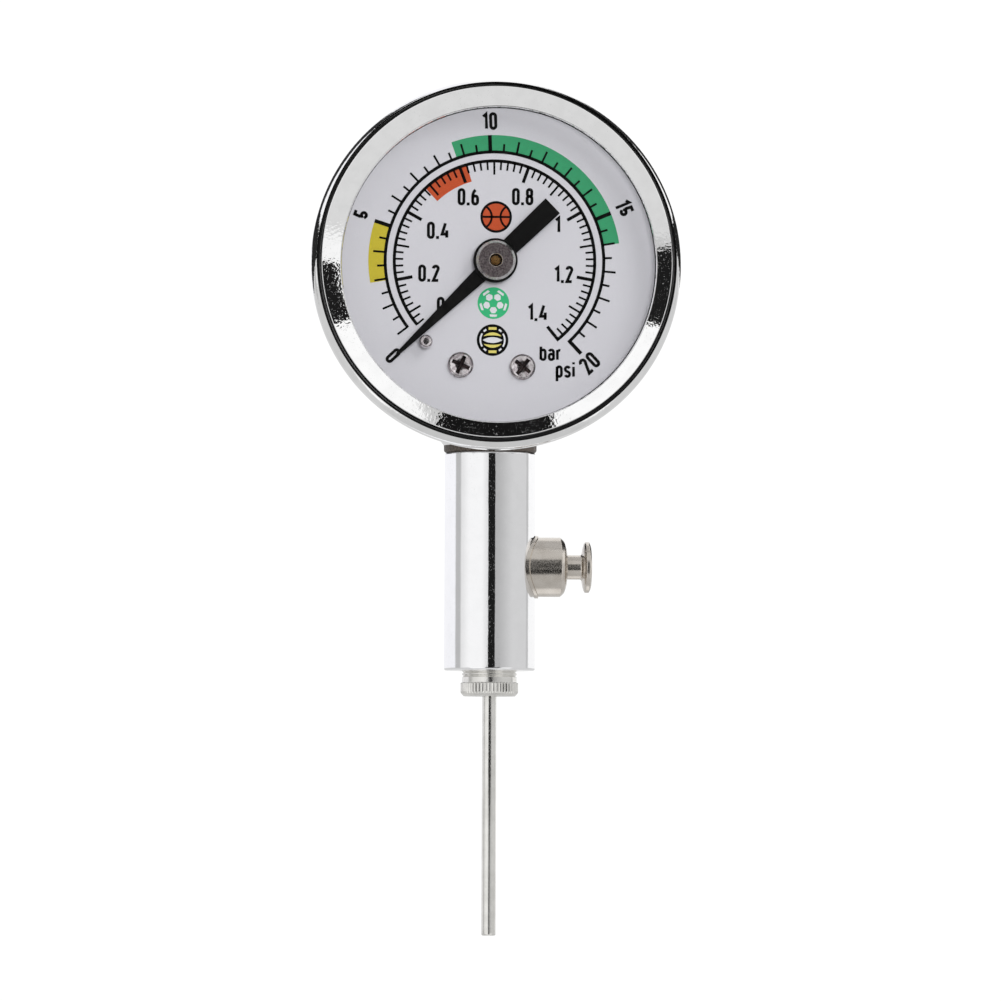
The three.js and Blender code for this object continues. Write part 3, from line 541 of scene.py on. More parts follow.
def bezel():
    """A pressed ring with a conical face that rises to the lip round the window."""
    lip = BEZEL_LIP
    seam = lip - SEAM[0]
    seal = LENS_FRONT + SEAM[1]
    skirt = BEZEL_RADIUS - BEZEL_SKIRT
    corners = [
        (skirt, BEZEL_BACK, 0),
        (BEZEL_RADIUS, BEZEL_BACK, 0),
        (BEZEL_RADIUS, BEZEL_FRONT - CONE_DROP, 0.2),
        (lip + CONE_BEND[0], BEZEL_FRONT - CONE_BEND[1], CONE_BEND[2]),
        (lip + 0.1, BEZEL_FRONT, 0.1),
        (lip, BEZEL_FRONT - 0.25, 0.08),
        (lip, seal, 0),
        (seam, seal, 0),
        (seam, LENS_FRONT, 0),
        (skirt, LENS_FRONT, 0),
    ]
    bm = bmesh.new()
    revolve(bm, rounded(corners, steps=8), AROUND)
    # painted shade: black on the bezel's outer side inside the groove
    paint_groove_shade(bm, BEZEL_RADIUS)
    refinish(bm, 1, lambda radius, height: radius < lip and LENS_FRONT < height < seal + NEAR / 2)
    push(bm, BEZEL_RADIUS - 0.1, lip, *LIP_SHIFT)
    made = piece("bezel", bm, HEAD, [BEZEL_CHROME, BLACK], ["bezel_ring"])
    hide_from(made, "shadow")


def window():
    edge = LENS_RADIUS
    corners = [(0, LENS_BACK, 0), (edge, LENS_BACK, 0), (edge, LENS_FRONT, 0), (0, LENS_FRONT, 0)]
    hide_from(turned("window", corners, AROUND, HEAD, CLEAR, ["lens"]), "shadow")


def dial_disc():
    bm = bmesh.new()
    edge = (dial_high.x - dial_low.x) / 2
    corners = [
        (SPINDLE_HOLE, DIAL_BACK, 0),
        (edge, DIAL_BACK, 0),
        (edge, DIAL_FACE, 0.08),
        (SPINDLE_HOLE, DIAL_FACE, 0.05),
    ]
    revolve(bm, rounded(corners, steps=3), AROUND)
    piece("dial_disc", bm, DIAL, [DIAL_WHITE], ["dial_plate"])


# ---- Dial printing: thin raised layers of ink ----
BAND_LAYER = (DIAL_FACE, DIAL_FACE + 0.012)
INK_LAYER = (DIAL_FACE, DIAL_FACE + 0.025)
MARK_LAYERS = [(DIAL_FACE, DIAL_FACE + height) for height in (0.012, 0.024, 0.036)]

PSI_ARC = 15.68
PSI_LINE = 0.45
PSI_ONE = 232.6  # the dial angle of 1 psi
PSI_STEP = 13.89  # degrees for each psi
BAR_ARC = 14.38
BAR_LINE = 0.45
BAR_FIRST = 258.8  # the dial angle of 0.2 bar
BAR_STEP = 201.6  # degrees for each bar
LINE_ENDS = (0.4, 0.9)  # degrees that a scale's line runs on past its first and its last tick

# How far out or in each kind of tick reaches, and its width.
PSI_TICKS = {"five": (18.1, 0.54), "one": (17.46, 0.3), "half": (16.86, 0.3)}
BAR_TICKS = {"fifth": (12.0, 0.46), "tenth": (12.4, 0.3), "fiftieth": (13.1, 0.28)}

# Each band's inner and outer radius.
PSI_BAND = (15.8, 18.1)
BAR_BAND = (11.86, 14.3)


def psi_angle(psi):
    return PSI_ONE + (psi - 1) * PSI_STEP


def bar_angle(bar):
    return BAR_FIRST + (bar - 0.2) * BAR_STEP


def dial_arc(bm, radius, width, start, end, layer):
    steps = max(int(abs(end - start) / 2), 2)
    line = [clock(radius, start + (end - start) * k / steps) for k in range(steps + 1)]
    ribbon(bm, line, width, *layer)


def tick(bm, start, end, width, angle):
    ribbon(bm, [clock(start, angle), clock(end, angle)], width, *INK_LAYER)


def psi_scale():
    bm = bmesh.new()
    start, end = psi_angle(1) - LINE_ENDS[0], psi_angle(20) + LINE_ENDS[1]
    dial_arc(bm, PSI_ARC, PSI_LINE, start, end, INK_LAYER)
    for half_psi in range(2, 41):
        kind = "half" if half_psi % 2 else "one" if half_psi % 10 else "five"
        tick(bm, PSI_ARC, *PSI_TICKS[kind], psi_angle(half_psi / 2))
    piece("psi_scale", bm, DIAL, [INK])


def bar_scale():
    bm = bmesh.new()
    start, end = bar_angle(0.06) - LINE_ENDS[0], bar_angle(1.4) + LINE_ENDS[1]
    dial_arc(bm, BAR_ARC, BAR_LINE, start, end, INK_LAYER)
    for fiftieth in range(3, 71):
        kind = "fiftieth" if fiftieth % 5 else "tenth" if fiftieth % 10 else "fifth"
        tick(bm, BAR_ARC, *BAR_TICKS[kind], bar_angle(fiftieth / 50))
    piece("bar_scale", bm, DIAL, [INK])


def colour_bands():
    for name, (inner, outer), start, end, finish in (
        ("green_band", PSI_BAND, psi_angle(8.71), psi_angle(16.03), GREEN),
        ("yellow_band", PSI_BAND, psi_angle(2.94), psi_angle(5), YELLOW),
        ("red_band", BAR_BAND, bar_angle(0.484), bar_angle(0.621), RED),
    ):
        bm = bmesh.new()
        dial_arc(bm, (inner + outer) / 2, outer - inner, start, end, BAND_LAYER)
        piece(name, bm, DIAL, [finish])


# A glyph's strokes in units of its height, measured along the middle of the stroke. Each is a list of
# points and whether it closes on itself.
STROKE = 0.172
TALL = 1 - STROKE
WIDE = 0.28
SMALL = 0.62  # height of a small letter
SPACING = 0.245  # from the middle of a glyph's last stroke to that of the next one's first
PSI_HEIGHT = 2.55
BAR_HEIGHT = 2.48
UNIT_HEIGHT = 2.26


def stadium(left, right, low, high):
    radius = (right - left) / 2
    squash = min(1.0, (high - low) / 2 / radius)
    rise = radius * squash
    middle = (left + right) / 2
    return (
        arc((middle, high - rise), radius, 0, 180, 8, squash)
        + arc((middle, low + rise), radius, 180, 360, 8, squash),
        True,
    )


def glyph(letter):
    """The strokes of a narrow sans-serif figure or letter, and its width."""
    r = WIDE / 2
    bowl = 0.56 * TALL
    hook = SMALL - r
    shapes = {
        "0": [stadium(0, WIDE, 0, TALL)],
        "1": [([(0, TALL - 0.15), (0.17, TALL), (0.17, 0)], False)],
        "2": [(arc((r, TALL - r), r, 180, -20, 10) + [(0.0, 0.0), (WIDE, 0)], False)],
        "4": [
            ([(0.19, TALL), (0, 0.2), (0.36, 0.2)], False),
            ([(0.27, 0.42), (0.27, 0)], False),
        ],
        "5": [
            ([(WIDE - 0.01, TALL), (0.025, TALL), (0.005, 0.46)], False),
            ([(0.005, 0.46)] + arc((r, bowl - r), r, 140, -160, 14), False),
        ],
        "6": [
            stadium(0, WIDE, 0, bowl),
            ([(0, r)] + arc((0.26, 0.42), 0.26, 180, 112, 8, 1.62), False),
        ],
        "8": [stadium(0.012, WIDE - 0.012, bowl - 0.03, TALL), stadium(0, WIDE, 0, bowl - 0.03)],
        ".": [([(0, -STROKE / 2), (0, STROKE / 2)], False)],
        "b": [([(0, TALL), (0, 0)], False), stadium(0, WIDE, 0, SMALL)],
        "a": [
            (arc((r, hook), r, 160, 0, 8) + [(WIDE, 0)], False),
            stadium(0, WIDE, 0, SMALL * 0.58),
        ],
        "r": [([(0, 0), (0, SMALL)], False), (arc((0.15, SMALL - 0.17), 0.15, 180, 75, 6), False)],
        "p": [([(0, SMALL), (0, -0.3)], False), stadium(0, WIDE, 0, SMALL)],
        "s": [
            (
                arc((r, SMALL - 0.15), r, 20, 235, 10, 1.05)
                + arc((r, 0.15), r, 55, -160, 10, 1.05),
                False,
            )
        ],
        "i": [([(0, 0), (0, SMALL)], False), ([(0, TALL - 0.05), (0, TALL + 0.08)], False)],
    }
    widths = {"1": 0.17, "4": 0.34, ".": 0.02, "r": 0.2, "i": 0.0}
    return shapes[letter], widths.get(letter, WIDE)


def label(bm, text, height, centre, clockwise=0.0):
    """Draws a number or a unit about a centre, turned by that many degrees."""
    drawn = [glyph(letter) for letter in text]
    total = sum(width for _, width in drawn) + SPACING * (len(drawn) - 1)
    turn = Matrix.Rotation(math.radians(-clockwise), 2)
    start = -total / 2
    for strokes, width in drawn:
        for points, closed in strokes:
            flat = [Vector((start + x, y - TALL / 2)) * height for x, y in points]
            line = [turn @ point + Vector(centre) for point in flat]
            ribbon(bm, line, STROKE * height, *INK_LAYER, closed=closed)
        start += width + SPACING


def numerals():
    bm = bmesh.new()
    for text, radius, angle in (
        ("0", 19.9, 226.7),
        ("5", 20.05, 288.9),
        ("10", 20.1, -2.3),
        ("15", 20.1, 67.2),
        ("20", 19.9, 136.6),
    ):
        upright = angle - 180 if 90 < angle < 270 else angle
        label(bm, text, PSI_HEIGHT, clock(radius, angle), upright)
    for text, x, y in (
        ("0", -7.7, -6.4),
        ("0.2", -9.4, -1.8),
        ("0.4", -8.1, 4.35),
        ("0.6", -3.8, 9.2),
        ("0.8", 4.0, 9.3),
        ("1", 9.0, 5.3),
        ("1.2", 9.9, -1.8),
        ("1.4", 6.2, -7.3),
    ):
        label(bm, text, BAR_HEIGHT, (x, y))
    label(bm, "bar", UNIT_HEIGHT, (8.1, -13.1))
    label(bm, "psi", UNIT_HEIGHT, (10.2, -15.5))
    piece("numerals", bm, DIAL, [INK])


# Each mark is drawn on a disc, at its own place on the dial.
MARK_RADIUS = 2.27
MARK_SEAM = 0.3
BASKETBALL_PLACE = (0.2, 6.35)
FOOTBALL_PLACE = (-0.15, -6.0)
VOLLEYBALL_PLACE = (-0.25, -11.3)


def moved(points, place, across=1, along=1):
    """Points carried to a place, and mirrored there where across or along is -1."""
    return [(place[0] + across * x, place[1] + along * y) for x, y in points]


def basketball_mark():
    place = BASKETBALL_PLACE
    bm = bmesh.new()
    disc(bm, place, MARK_RADIUS, *MARK_LAYERS[0])
    disc(bm, place, MARK_RADIUS - 0.35, *MARK_LAYERS[1], slot=1)
    ribbon(bm, moved([(-2, 0), (2, 0)], place), MARK_SEAM, *MARK_LAYERS[2])
    for side in (-1, 1):
        seam = arc((2.35, 0), 1.72, 234, 126)
        ribbon(bm, moved(seam, place, side), MARK_SEAM, *MARK_LAYERS[2])
    piece("basketball_mark", bm, DIAL, [INK, RED])


def football_mark():
    bm = bmesh.new()
    disc(bm, FOOTBALL_PLACE, MARK_RADIUS, *MARK_LAYERS[0])
    patch = [(-0.54, 1.0), (-0.25, 1.45), (0.25, 1.45), (0.54, 1.0), (0.28, 0.58), (-0.28, 0.58)]
    bar = [(-0.55, 1.63), (-0.45, 1.96), (0.45, 1.96), (0.55, 1.63)]
    for k in range(5):
        turn = Matrix.Rotation(math.radians(-180 - 360 / 5 * k), 2)
        for outline in (patch, bar):
            prism(bm, moved([turn @ Vector(p) for p in outline], FOOTBALL_PLACE), *MARK_LAYERS[1], slot=1)
    piece("football_mark", bm, DIAL, [MARK_GREEN, WHITE])


def volleyball_mark():
    place = VOLLEYBALL_PLACE
    bm = bmesh.new()
    disc(bm, place, MARK_RADIUS, *MARK_LAYERS[0])
    leaf = arc((0, -2.19), 2.61, 123, 57, 10) + arc((0, 2.19), 2.61, -57, -123, 10)[1:-1]
    stripe = arc((0, -0.71), 1.81, 134, 46, 8) + arc((0, -5.39), 6.07, 78, 102, 8)
    cap = [(-0.58, 1.48), (-0.56, 1.85), (0.56, 1.85), (0.58, 1.48)]
    flank = arc((0, 0), 1.75, -32, 32)
    dash = arc((0, 0), 1.75, 44, 59, 4)
    prism(bm, moved(leaf, place), *MARK_LAYERS[1], slot=1)
    for side in (-1, 1):
        prism(bm, moved(stripe, place, along=side), *MARK_LAYERS[1], slot=2)
        prism(bm, moved(cap, place, along=side), *MARK_LAYERS[1], slot=2)
        ribbon(bm, moved(flank, place, side), 0.24, *MARK_LAYERS[1], slot=1)
        for end in (-1, 1):
            ribbon(bm, moved(dash, place, side, end), 0.27, *MARK_LAYERS[1], slot=1)
    piece("volleyball_mark", bm, DIAL, [INK, WHITE, PALE_YELLOW])


# ---- Dial screws and stop pin ----
SCREW_SHANK = 0.95
RECESS_REACH = 0.76  # how far a screw's cross recess goes out, as a part of the head
RECESS_DEPTH = 0.6
RECESS_WIDE, RECESS_NARROW = 0.3, 0.18  # half the width of its slots at the top and at the floor


def cross_cutters(place, clockwise, top, reach):
    """The two slots of a cross recess, which narrow towards its floor."""
    for slot in (0, 90):
        rotate = Matrix.Rotation(math.radians(slot - clockwise), 2)
        lift = 0.003 * (slot > 0)  # so that no faces of the two slots lie in one plane
        bm = bmesh.new()
        rings = []
        for height, width, length in (
            (top + 0.3, RECESS_WIDE * 1.15, reach * 1.1),
            (top - 0.05, RECESS_WIDE, reach),
            (top - RECESS_DEPTH, RECESS_NARROW, reach * 0.75),
        ):
            corners = [(-length, -width), (length, -width), (length, width), (-length, width)]
            placed = [rotate @ Vector(corner) + Vector(place) for corner in corners]
            rings.append([bm.verts.new((p.x, p.y, height + lift)) for p in placed])
        bm.faces.new(rings[0])
        bm.faces.new(rings[-1])
        skin(bm, rings)
        yield make_object("cutter", bm, DIAL, [])


def on_dial(node):
    """Where a round CAD piece stands on the dial, its radius and the heights of its front and its back."""
    low, high = node_box(node)
    place = (low.x + high.x) / 2, (low.z + high.z) / 2 - DIAL_Z
    return place, (high.x - low.x) / 2, *front_back(node)


def dome(out):
    """How far a screw head's top has fallen at a part of its radius from the middle."""
    return 0.067 * out if out < 0.45 else 0.03 + 0.46 * (out - 0.45)


def dial_screws():
    for side, clockwise in (("left", 24), ("right", 38)):
        node = "dial_screw_" + side
        place, radius, front, back = on_dial(node)
        inner, outer = 0.45, 0.82  # where the top's slope changes, as parts of the radius
        corners = [
            (0, back, 0),
            (SCREW_SHANK, back, 0.15),
            (SCREW_SHANK, DIAL_FACE, 0),
            (radius, DIAL_FACE, 0.12),
            (radius, front - 0.5, 0.12),
            (radius * outer, front - dome(outer), 0.4),
            (radius * inner, front - dome(inner), 0.4),
            (0, front, 0),
        ]
        made = turned("screw_" + side, corners, FINE, DIAL, STEEL, [node], at=place)
        cut_away(made, *cross_cutters(place, clockwise, front, radius * RECESS_REACH))
        # Painted shade: the faces inside each cross recess take the dark steel, for the shade in the
        # recess.
        made.data.materials.append(RECESS_SHADE_STEEL)
        for face in made.data.polygons:
            spot = face.center / MM - Vector((place[0], 0, place[1] + DIAL_Z))
            out = math.hypot(spot.x, spot.z) / radius
            if out < RECESS_REACH and dome(out) + 2 * NEAR < front + spot.y < front - DIAL_FACE:
                face.material_index = 1


def stop_pin():
    place, radius, front, back = on_dial("zero_stop_pin")
    tenon = 0.5
    corners = [
        (0, back, 0),
        (tenon, back, 0),
        (tenon, DIAL_FACE, 0),
        (radius, DIAL_FACE, 0.06),
        (radius, front, 0.55),
        (0, front, 0),
    ]
    turned("stop_pin", corners, FINE, DIAL, STEEL, ["zero_stop_pin"], at=place)


# ---- Pointer and hub ----
POINTER_ANGLE = 226  # where it rests, clockwise from the top
BLADE_FRONT = POINTER_BACK + 0.4
DISC_RADIUS = 3.17
HUB_BORE = 0.73

# The blade's corners, from its middle round the tail and then round the tip.
BLADE = [(1.3, -2), (1.48, -11.4), (-1.48, -11.4), (-1.3, -2)]
BLADE += [(-1.22, 1), (-0.25, 19.5), (0.25, 19.5), (1.22, 1)]


def pointer():
    """A flat blade with a broad tail, and the disc that carries the hub cap."""
    turn = Matrix.Rotation(math.radians(-POINTER_ANGLE), 4, "Z")
    bm = bmesh.new()
    prism(bm, BLADE, POINTER_BACK, BLADE_FRONT)
    bmesh.ops.bevel(bm, geom=list(bm.edges), offset=0.05, segments=2, affect="EDGES")
    bm.transform(turn)
    corners = [
        (HUB_BORE, POINTER_BACK, 0),
        (DISC_RADIUS, POINTER_BACK, 0.1),
        (DISC_RADIUS, HUB_BACK, 0.16),
        (HUB_BORE, HUB_BACK, 0),
    ]
    revolve(bm, rounded(corners), CAP_FACETS)
    piece("pointer_blade", bm, DIAL, [BLACK], ["pointer"], "pointer_arm")


def hub_cap():
    """A dull cap with a polished chamfer and painted shade in the hole that the end of the spindle shows
    in.
    """
    rim, flat, hole = 2.83, 2.47, 0.86
    chamfer, floor_depth = 0.42, 0.6
    corners = [
        (HUB_BORE, HUB_BACK, 0),
        (rim, HUB_BACK, 0.05),
        (rim, HUB_FRONT - chamfer, 0.08),
        (flat, HUB_FRONT, 0.03),
        (hole + 0.1, HUB_FRONT, 0.06),
        (hole, HUB_FRONT - 0.12, 0.02),
        (hole, HUB_FRONT - floor_depth, 0),
        (HUB_BORE, HUB_FRONT - floor_depth, 0),
    ]
    bm = bmesh.new()
    revolve(bm, rounded(corners), CAP_FACETS)
    refinish(bm, 1, lambda radius, height: height < HUB_FRONT - 0.012 or radius < hole + 0.13)
    # Painted shade: the hole's wall and floor take black paint, for the shade down the hole.
    refinish(bm, 2, lambda radius, height: radius < hole + 0.005)
    finishes = [HUB_METAL, PALE_NICKEL, BLACK]
    piece("hub_cap", bm, DIAL, finishes, ["pointer_hub"], "pointer_arm", sharp=20)


# ---- Stem and what is on it ----
STEM_BORE = 4.1
STEM_PASSAGE = 1.4  # the narrow bore between the two wide ones, and where it starts and ends
PASSAGE_LOW, PASSAGE_HIGH = 10.9, 27.2
VALVE_SOCKET = 3.9


def stem():
    """The barrel, bored at both ends and drilled for the valve boss."""
    corners = [
        (STEM_BORE, stem_low.z, 0.2),
        (STEM_RADIUS, stem_low.z, 0.3),
        (STEM_RADIUS, STEM_TOP, 0.3),
        (STEM_BORE, STEM_TOP, 0.1),
        (STEM_BORE, PASSAGE_HIGH, 0),
        (STEM_PASSAGE, PASSAGE_HIGH, 0),
        (STEM_PASSAGE, PASSAGE_LOW, 0),
        (STEM_BORE, PASSAGE_LOW, 0),
    ]
    made = turned("stem", corners, AROUND, UPRIGHT, STEM_CHROME, ["stem_body"])
    cut_away(made, cutter(tube(0, VALVE_SOCKET, STEM_PASSAGE + 2.2, STEM_RADIUS + 1), SIDE, FINE))


def saddle():
    """The seat between the stem's flat top and the round case: dark below, where it flares out to a
    bright upper edge."""
    outer = (saddle_high.x - saddle_low.x) / 2
    foot, hole, dark, flare = 6.66, 4.3, 0.98, 2.2
    corners = [
        (hole, STEM_TOP, 0),
        (foot, STEM_TOP, 0.4),
        (foot, STEM_TOP + dark, 0.25),
        (outer, STEM_TOP + flare, 0.15),
        (outer, saddle_high.z, 0.1),
        (hole, saddle_high.z, 0),
    ]
    bm = bmesh.new()
    revolve(bm, rounded(corners), AROUND)
    refinish(bm, 1, lambda radius, height: height > STEM_TOP + dark + 0.05)
    made = piece("saddle", bm, UPRIGHT, [TAUPE, CHROME], ["saddle_washer"])
    cut_away(made, cutter(tube(0, CASE_RADIUS + 0.02, -15, 15), HEAD))


CUTTER_REACH = 9  # how far the cutters for the boss go up and down from its axis
BOSS_BODY = 4.27
BOSS_BORE = 2.4
BOSS_MOUTH = 1.85
BOSS_TAIL = 3.1
BOSS_STEP = STEM_RADIUS - 2.2  # where the tail ends and the body starts, inside the stem
FOOT_RADIUS = 4.5
FOOT_HEIGHT = 0.42  # how far the foot's edge stands out from the stem
SHANK_START = 9.6  # where the button's rod widens to its shank


def stem_cutter(inner, outer):
    """A thick upright tube about the stem's axis, level with the boss."""
    return cutter(tube(inner, outer, BOSS_Z - CUTTER_REACH, BOSS_Z + CUTTER_REACH), UPRIGHT)


def boss():
    """The round valve boss: a body turned for the button's shank, whose inner end enters the stem."""
    end = boss_high.x
    corners = [
        (BOSS_BORE, boss_low.x, 0),
        (BOSS_TAIL, boss_low.x, 0),
        (BOSS_TAIL, BOSS_STEP, 0),
        (BOSS_BODY, BOSS_STEP, 0),
        (BOSS_BODY, end - 0.9, 0.2),
        (BOSS_BODY - 0.5, end - 0.32, 1.2),
        (2.75, end, 0.5),
        (2.4, end, 0.05),
        (2.3, end - 0.25, 0),
        (BOSS_MOUTH, end - 0.3, 0.05),
        (BOSS_MOUTH, end - 1.2, 0),
        (BOSS_BORE, end - 1.2, 0),
    ]
    made = turned("boss", corners, BOSS_FACETS, SIDE, NICKEL, ["valve_boss"])
    inside = stem_cutter(0, STEM_RADIUS + 0.01)
    tail = tube(0, BOSS_TAIL + 0.05, -CUTTER_REACH, CUTTER_REACH)
    cut_away(inside, cutter(tail, SIDE, BOSS_FACETS))
    cut_away(made, inside)


def boss_foot():
    """The thin skirt where the boss meets the stem, cut to follow the stem inside and out."""
    bm = bmesh.new()
    skirt = tube(BOSS_BODY - 0.2, FOOT_RADIUS, STEM_RADIUS - 2.4, STEM_RADIUS + 1)
    revolve(bm, skirt, BOSS_FACETS)
    made = piece("boss_foot", bm, SIDE, [NICKEL])
    cut_away(made, stem_cutter(0, STEM_RADIUS + 0.01))
    cut_away(made, stem_cutter(STEM_RADIUS + FOOT_HEIGHT, STEM_RADIUS + CUTTER_REACH))


def button():
    """The mushroom-headed bleed button, with its rod running in to the seal."""
    shank, rod = 1.75, 0.7
    start, end = button_low.x, button_high.x
    head = (button_high.z - button_low.z) / 2
    corners = [
        (0, start, 0),
        (rod, start, 0.08),
        (rod, SHANK_START, 0),
        (shank, SHANK_START, 0.15),
        (shank, end - 1.3, 0.35),
        (head - 0.9, end - 1.12, 0.15),
        (head - 0.35, end - 0.98, 0.2),
        (head, end - 0.8, 0.15),
        (head, end - 0.25, 0.22),
        (head - 0.5, end, 0.9),
        (0, end, 0),
    ]
    turned("button", corners, CAP_FACETS, SIDE, NICKEL, ["bleed_button"], "button")


def bleed_spring():
    """The coil spring behind the button."""
    turns, per_turn, around, wire = 5, 32, 10, 0.17
    steps = turns * per_turn
    coil = (spring_high.z - spring_low.z) / 2 - wire
    rise = (spring_high.x - spring_low.x - 2 * wire) / steps
    section = arc((coil, 0), wire, 0, 360 - 360 / around, around - 1)
    bm = bmesh.new()
    rings = []
    for i in range(steps + 1):
        height = spring_low.x + wire + rise * i
        a = TURN * i / per_turn
        ring = [(out * math.cos(a), out * math.sin(a), height + along) for out, along in section]
        rings.append([bm.verts.new(point) for point in ring])
    skin(bm, rings)
    bm.faces.new(rings[0])
    bm.faces.new(rings[-1])
    made = piece("bleed_coil", bm, SIDE, [STEEL], ["bleed_spring"])
    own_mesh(made)


KNURLS = 46
KNURL_TOP = 1.95
KNURL_DEPTH = 0.13
THREAD_START = 2.75


def collar():
    """The screwed needle collar: a straight knurl, a plain band and the last turns of its thread."""
    radius = (collar_high.x - collar_low.x) / 2
    bore, neck, root, pitch = 1.1, 3.95, 3.68, 0.5
    threads = []
    height = THREAD_START
    while height < collar_high.z - 1:
        threads += [
            (neck, height, 0.04),
            (root, height + pitch * 0.35, 0.05),
            (neck, height + pitch * 0.7, 0.04),
        ]
        height += pitch
    knurled = [
        (bore, 0, 0),
        (radius - 0.45, 0, 0.1),
        (radius, 0.5, 0.5),
        (radius, KNURL_TOP - 0.1, 0.12),
        (neck + 0.02, KNURL_TOP + 0.02, 0.05),
    ]
    top = [(neck - 0.3, collar_high.z, 0.1), (bore, collar_high.z, 0)]

    def groove(radius, height):
        return KNURL_DEPTH if radius > neck + 0.1 and height < KNURL_TOP else 0.0

    bm = bmesh.new()
    revolve(bm, rounded(knurled + threads + top, steps=4), KNURLS * 8, KNURLS, groove)
    piece("collar", bm, UPRIGHT, [PALE_NICKEL], ["needle_collar"], "needle", sharp=40)


def needle():
    outer = (needle_high.x - needle_low.x) / 2
    bore = 0.6
    corners = [
        (bore, needle_low.z, 0.15),
        (outer, needle_low.z, 0.28),
        (outer, needle_high.z, 0.1),
        (bore, needle_high.z, 0),
    ]
    turned("needle", corners, FINE, UPRIGHT, PALE_NICKEL, ["needle_tube"], "needle")


# ---- The Bourdon tube, a flattened tube swept round the dial ----
def bourdon():
    radius, start, sweep = 17.5, 202.5, 269.5
    half_width, half_depth, wall = 3.0, 1.1, 0.3
    middle = 0.5
    steps, around = 90, 20
    walls = []
    bm = bmesh.new()
    for shrink in (0, wall):
        rings = []
        for i in range(steps + 1):
            ring = []
            for k in range(around):
                a = TURN * k / around
                x, y = clock(radius + (half_depth - shrink) * math.sin(a), start + sweep * i / steps)
                ring.append(bm.verts.new((x, y, middle + (half_width - shrink) * math.cos(a))))
            rings.append(ring)
        skin(bm, rings)
        walls.append(rings)
    for end in (0, -1):
        skin(bm, [rings[end] for rings in walls])
    made = make_object("bourdon", bm, DIAL, [BRONZE])
    root, tip = (Vector((*clock(radius, a), middle)) for a in (start + 90, start + sweep))
    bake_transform(made)
    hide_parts("bourdon_tube")


# ---- CAD pieces that keep their shape take fine materials ----
def finish_cad_nodes():
    finishes = {"brass": BRASS, "bronze": BRONZE, "steel": STEEL, "rubber": RUBBER, "fibre": FIBRE}
    own = {
        "brass": ("pinion_spindle", "sector_gear", "link", "tube_tip", "socket_block"),
        "bronze": ("hairspring",),
        "steel": ("sector_arbor", "link_pin_sector", "link_pin_tip", "hairspring_stud"),
        "rubber": ("lens_gasket", "bleed_seal", "needle_washer"),
        "fibre": ("stem_gasket",),
    }
    by_node = {node: finishes[kind] for kind, nodes in own.items() for node in nodes}
    for name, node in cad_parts.items():
        if node.hide_render:
            continue
        finish = by_node.get(name)
        if finish is None:
            finish = STEEL if name.startswith("movement_screw") else BRASS
        if not node.material_slots:
            node.data.materials.append(finish)
        for place in node.material_slots:
            place.material = finish


# ---- Studio ----
VIEW_AZIMUTH = -4.5
VIEW_ELEVATION = -2.5


def studio_world():
    """A white studio with the few grey and black cards that polished metal needs. Angles are in degrees:
    round from straight in front of the dial, positive to its right, and up from the horizon."""
    world = bpy.data.worlds.new("studio")
    bpy.context.scene.world = world
    world.use_nodes = True
    s = Shader(world.node_tree)
    ray = s.add("ShaderNodeTexCoord").outputs["Generated"]
    axes = s.add("ShaderNodeSeparateXYZ", Vector=ray).outputs
    degrees = 180 / math.pi
    toward = s.math("MULTIPLY", axes["Y"], -1.0)
    around = s.math("MULTIPLY", s.math("ARCTAN2", axes["X"], toward), degrees)
    up = s.math("MULTIPLY", s.math("ARCSINE", axes["Z"]), degrees)

    light = grey(1.02)
    pale = (0.97, 0.97, 1.0, 1)
    left_side = s.math("MULTIPLY", s.ramp(around, -84, -55, 0.80, 0.97), s.ramp(around, -26, -9, 1.0, 0.82))
    right_side = s.mix(s.ramp(around, 8, 62), grey(0.46), grey(0.66))
    cards = [
        # colour, from and to round, from and to up, softness of the edges
        (pale, -181, -100, -90, 90, 6),
        (grey(0.68), -181, -100, -48, -5, 8),
        (grey(0.68), 100, 181, -48, -5, 8),
        (grey(0.72), -62, 62, 4, 66, 5),
        (grey(0.03), -160, -124, 9, 50, 4),
        (grey(0.03), 124, 160, 9, 50, 4),
        (grey(0.58), -130, 130, -90, -50, 8),
        (grey(0.64), 60, 130, -50, -6, 8),
        (grey(0.64), -130, -60, -50, -6, 8),
        (grey(0.60), -13, 20, -52, -22, 4),
        (s.mix(left_side, grey(0.0), grey(1.0)), -84, -9, -3, 9, 1.5),
        (right_side, 7, 99, -4, 9, 1.5),
        (grey(0.50), -99, -86, -7, 14, 5),
        (grey(0.55), 101, 109, -7, 14, 2),
        (grey(0.34), -14, 20, 70, 91, 6),
        (grey(0.012), -8, 8.5, -21, 27, 0.8),
    ]
    colour = light
    for card, left, right, low, high, soft in cards:
        inside = s.math("MULTIPLY", s.ramp(around, left - soft, left), s.ramp(around, right + soft, right))
        level = s.math("MULTIPLY", s.ramp(up, low - soft, low), s.ramp(up, high + soft, high))
        colour = s.mix(s.math("MULTIPLY", inside, level), colour, card)

    # What matt surfaces scatter comes from a plain sky that is brighter to the upper right.
    paths = s.add("ShaderNodeLightPath").outputs
    slope = s.math("ADD", s.math("MULTIPLY", axes["X"], 0.16), s.math("MULTIPLY", axes["Z"], 0.16))
    sky = s.mix(s.math("ADD", slope, 0.5), grey(0.36), grey(0.63))
    colour = s.mix(s.math("MINIMUM", paths["Diffuse Depth"], 1.0), colour, sky)
    background = s.add("ShaderNodeBackground", Color=s.mix(paths["Is Camera Ray"], colour, grey(1.0)))
    s.add("ShaderNodeOutputWorld", Surface=background.outputs[0])


def direction(around, up):
    """The direction that lies so many degrees to the right of the gauge's front, and so many up."""
    a, e = math.radians(around), math.radians(up)
    return Vector((math.sin(a) * math.cos(e), -math.cos(a) * math.cos(e), math.sin(e)))


# Rings of the head that the mirror cards are for: radius, height and the tilts of the parts covered.
FACE_RING = (23.9, BEZEL_FRONT, (15.5, 18, 21, 24.5))
BEAD_RING = (26, 10, (38, 50, 62, 74))
POINTED = 6  # degrees of tilt that are left at a tapered end


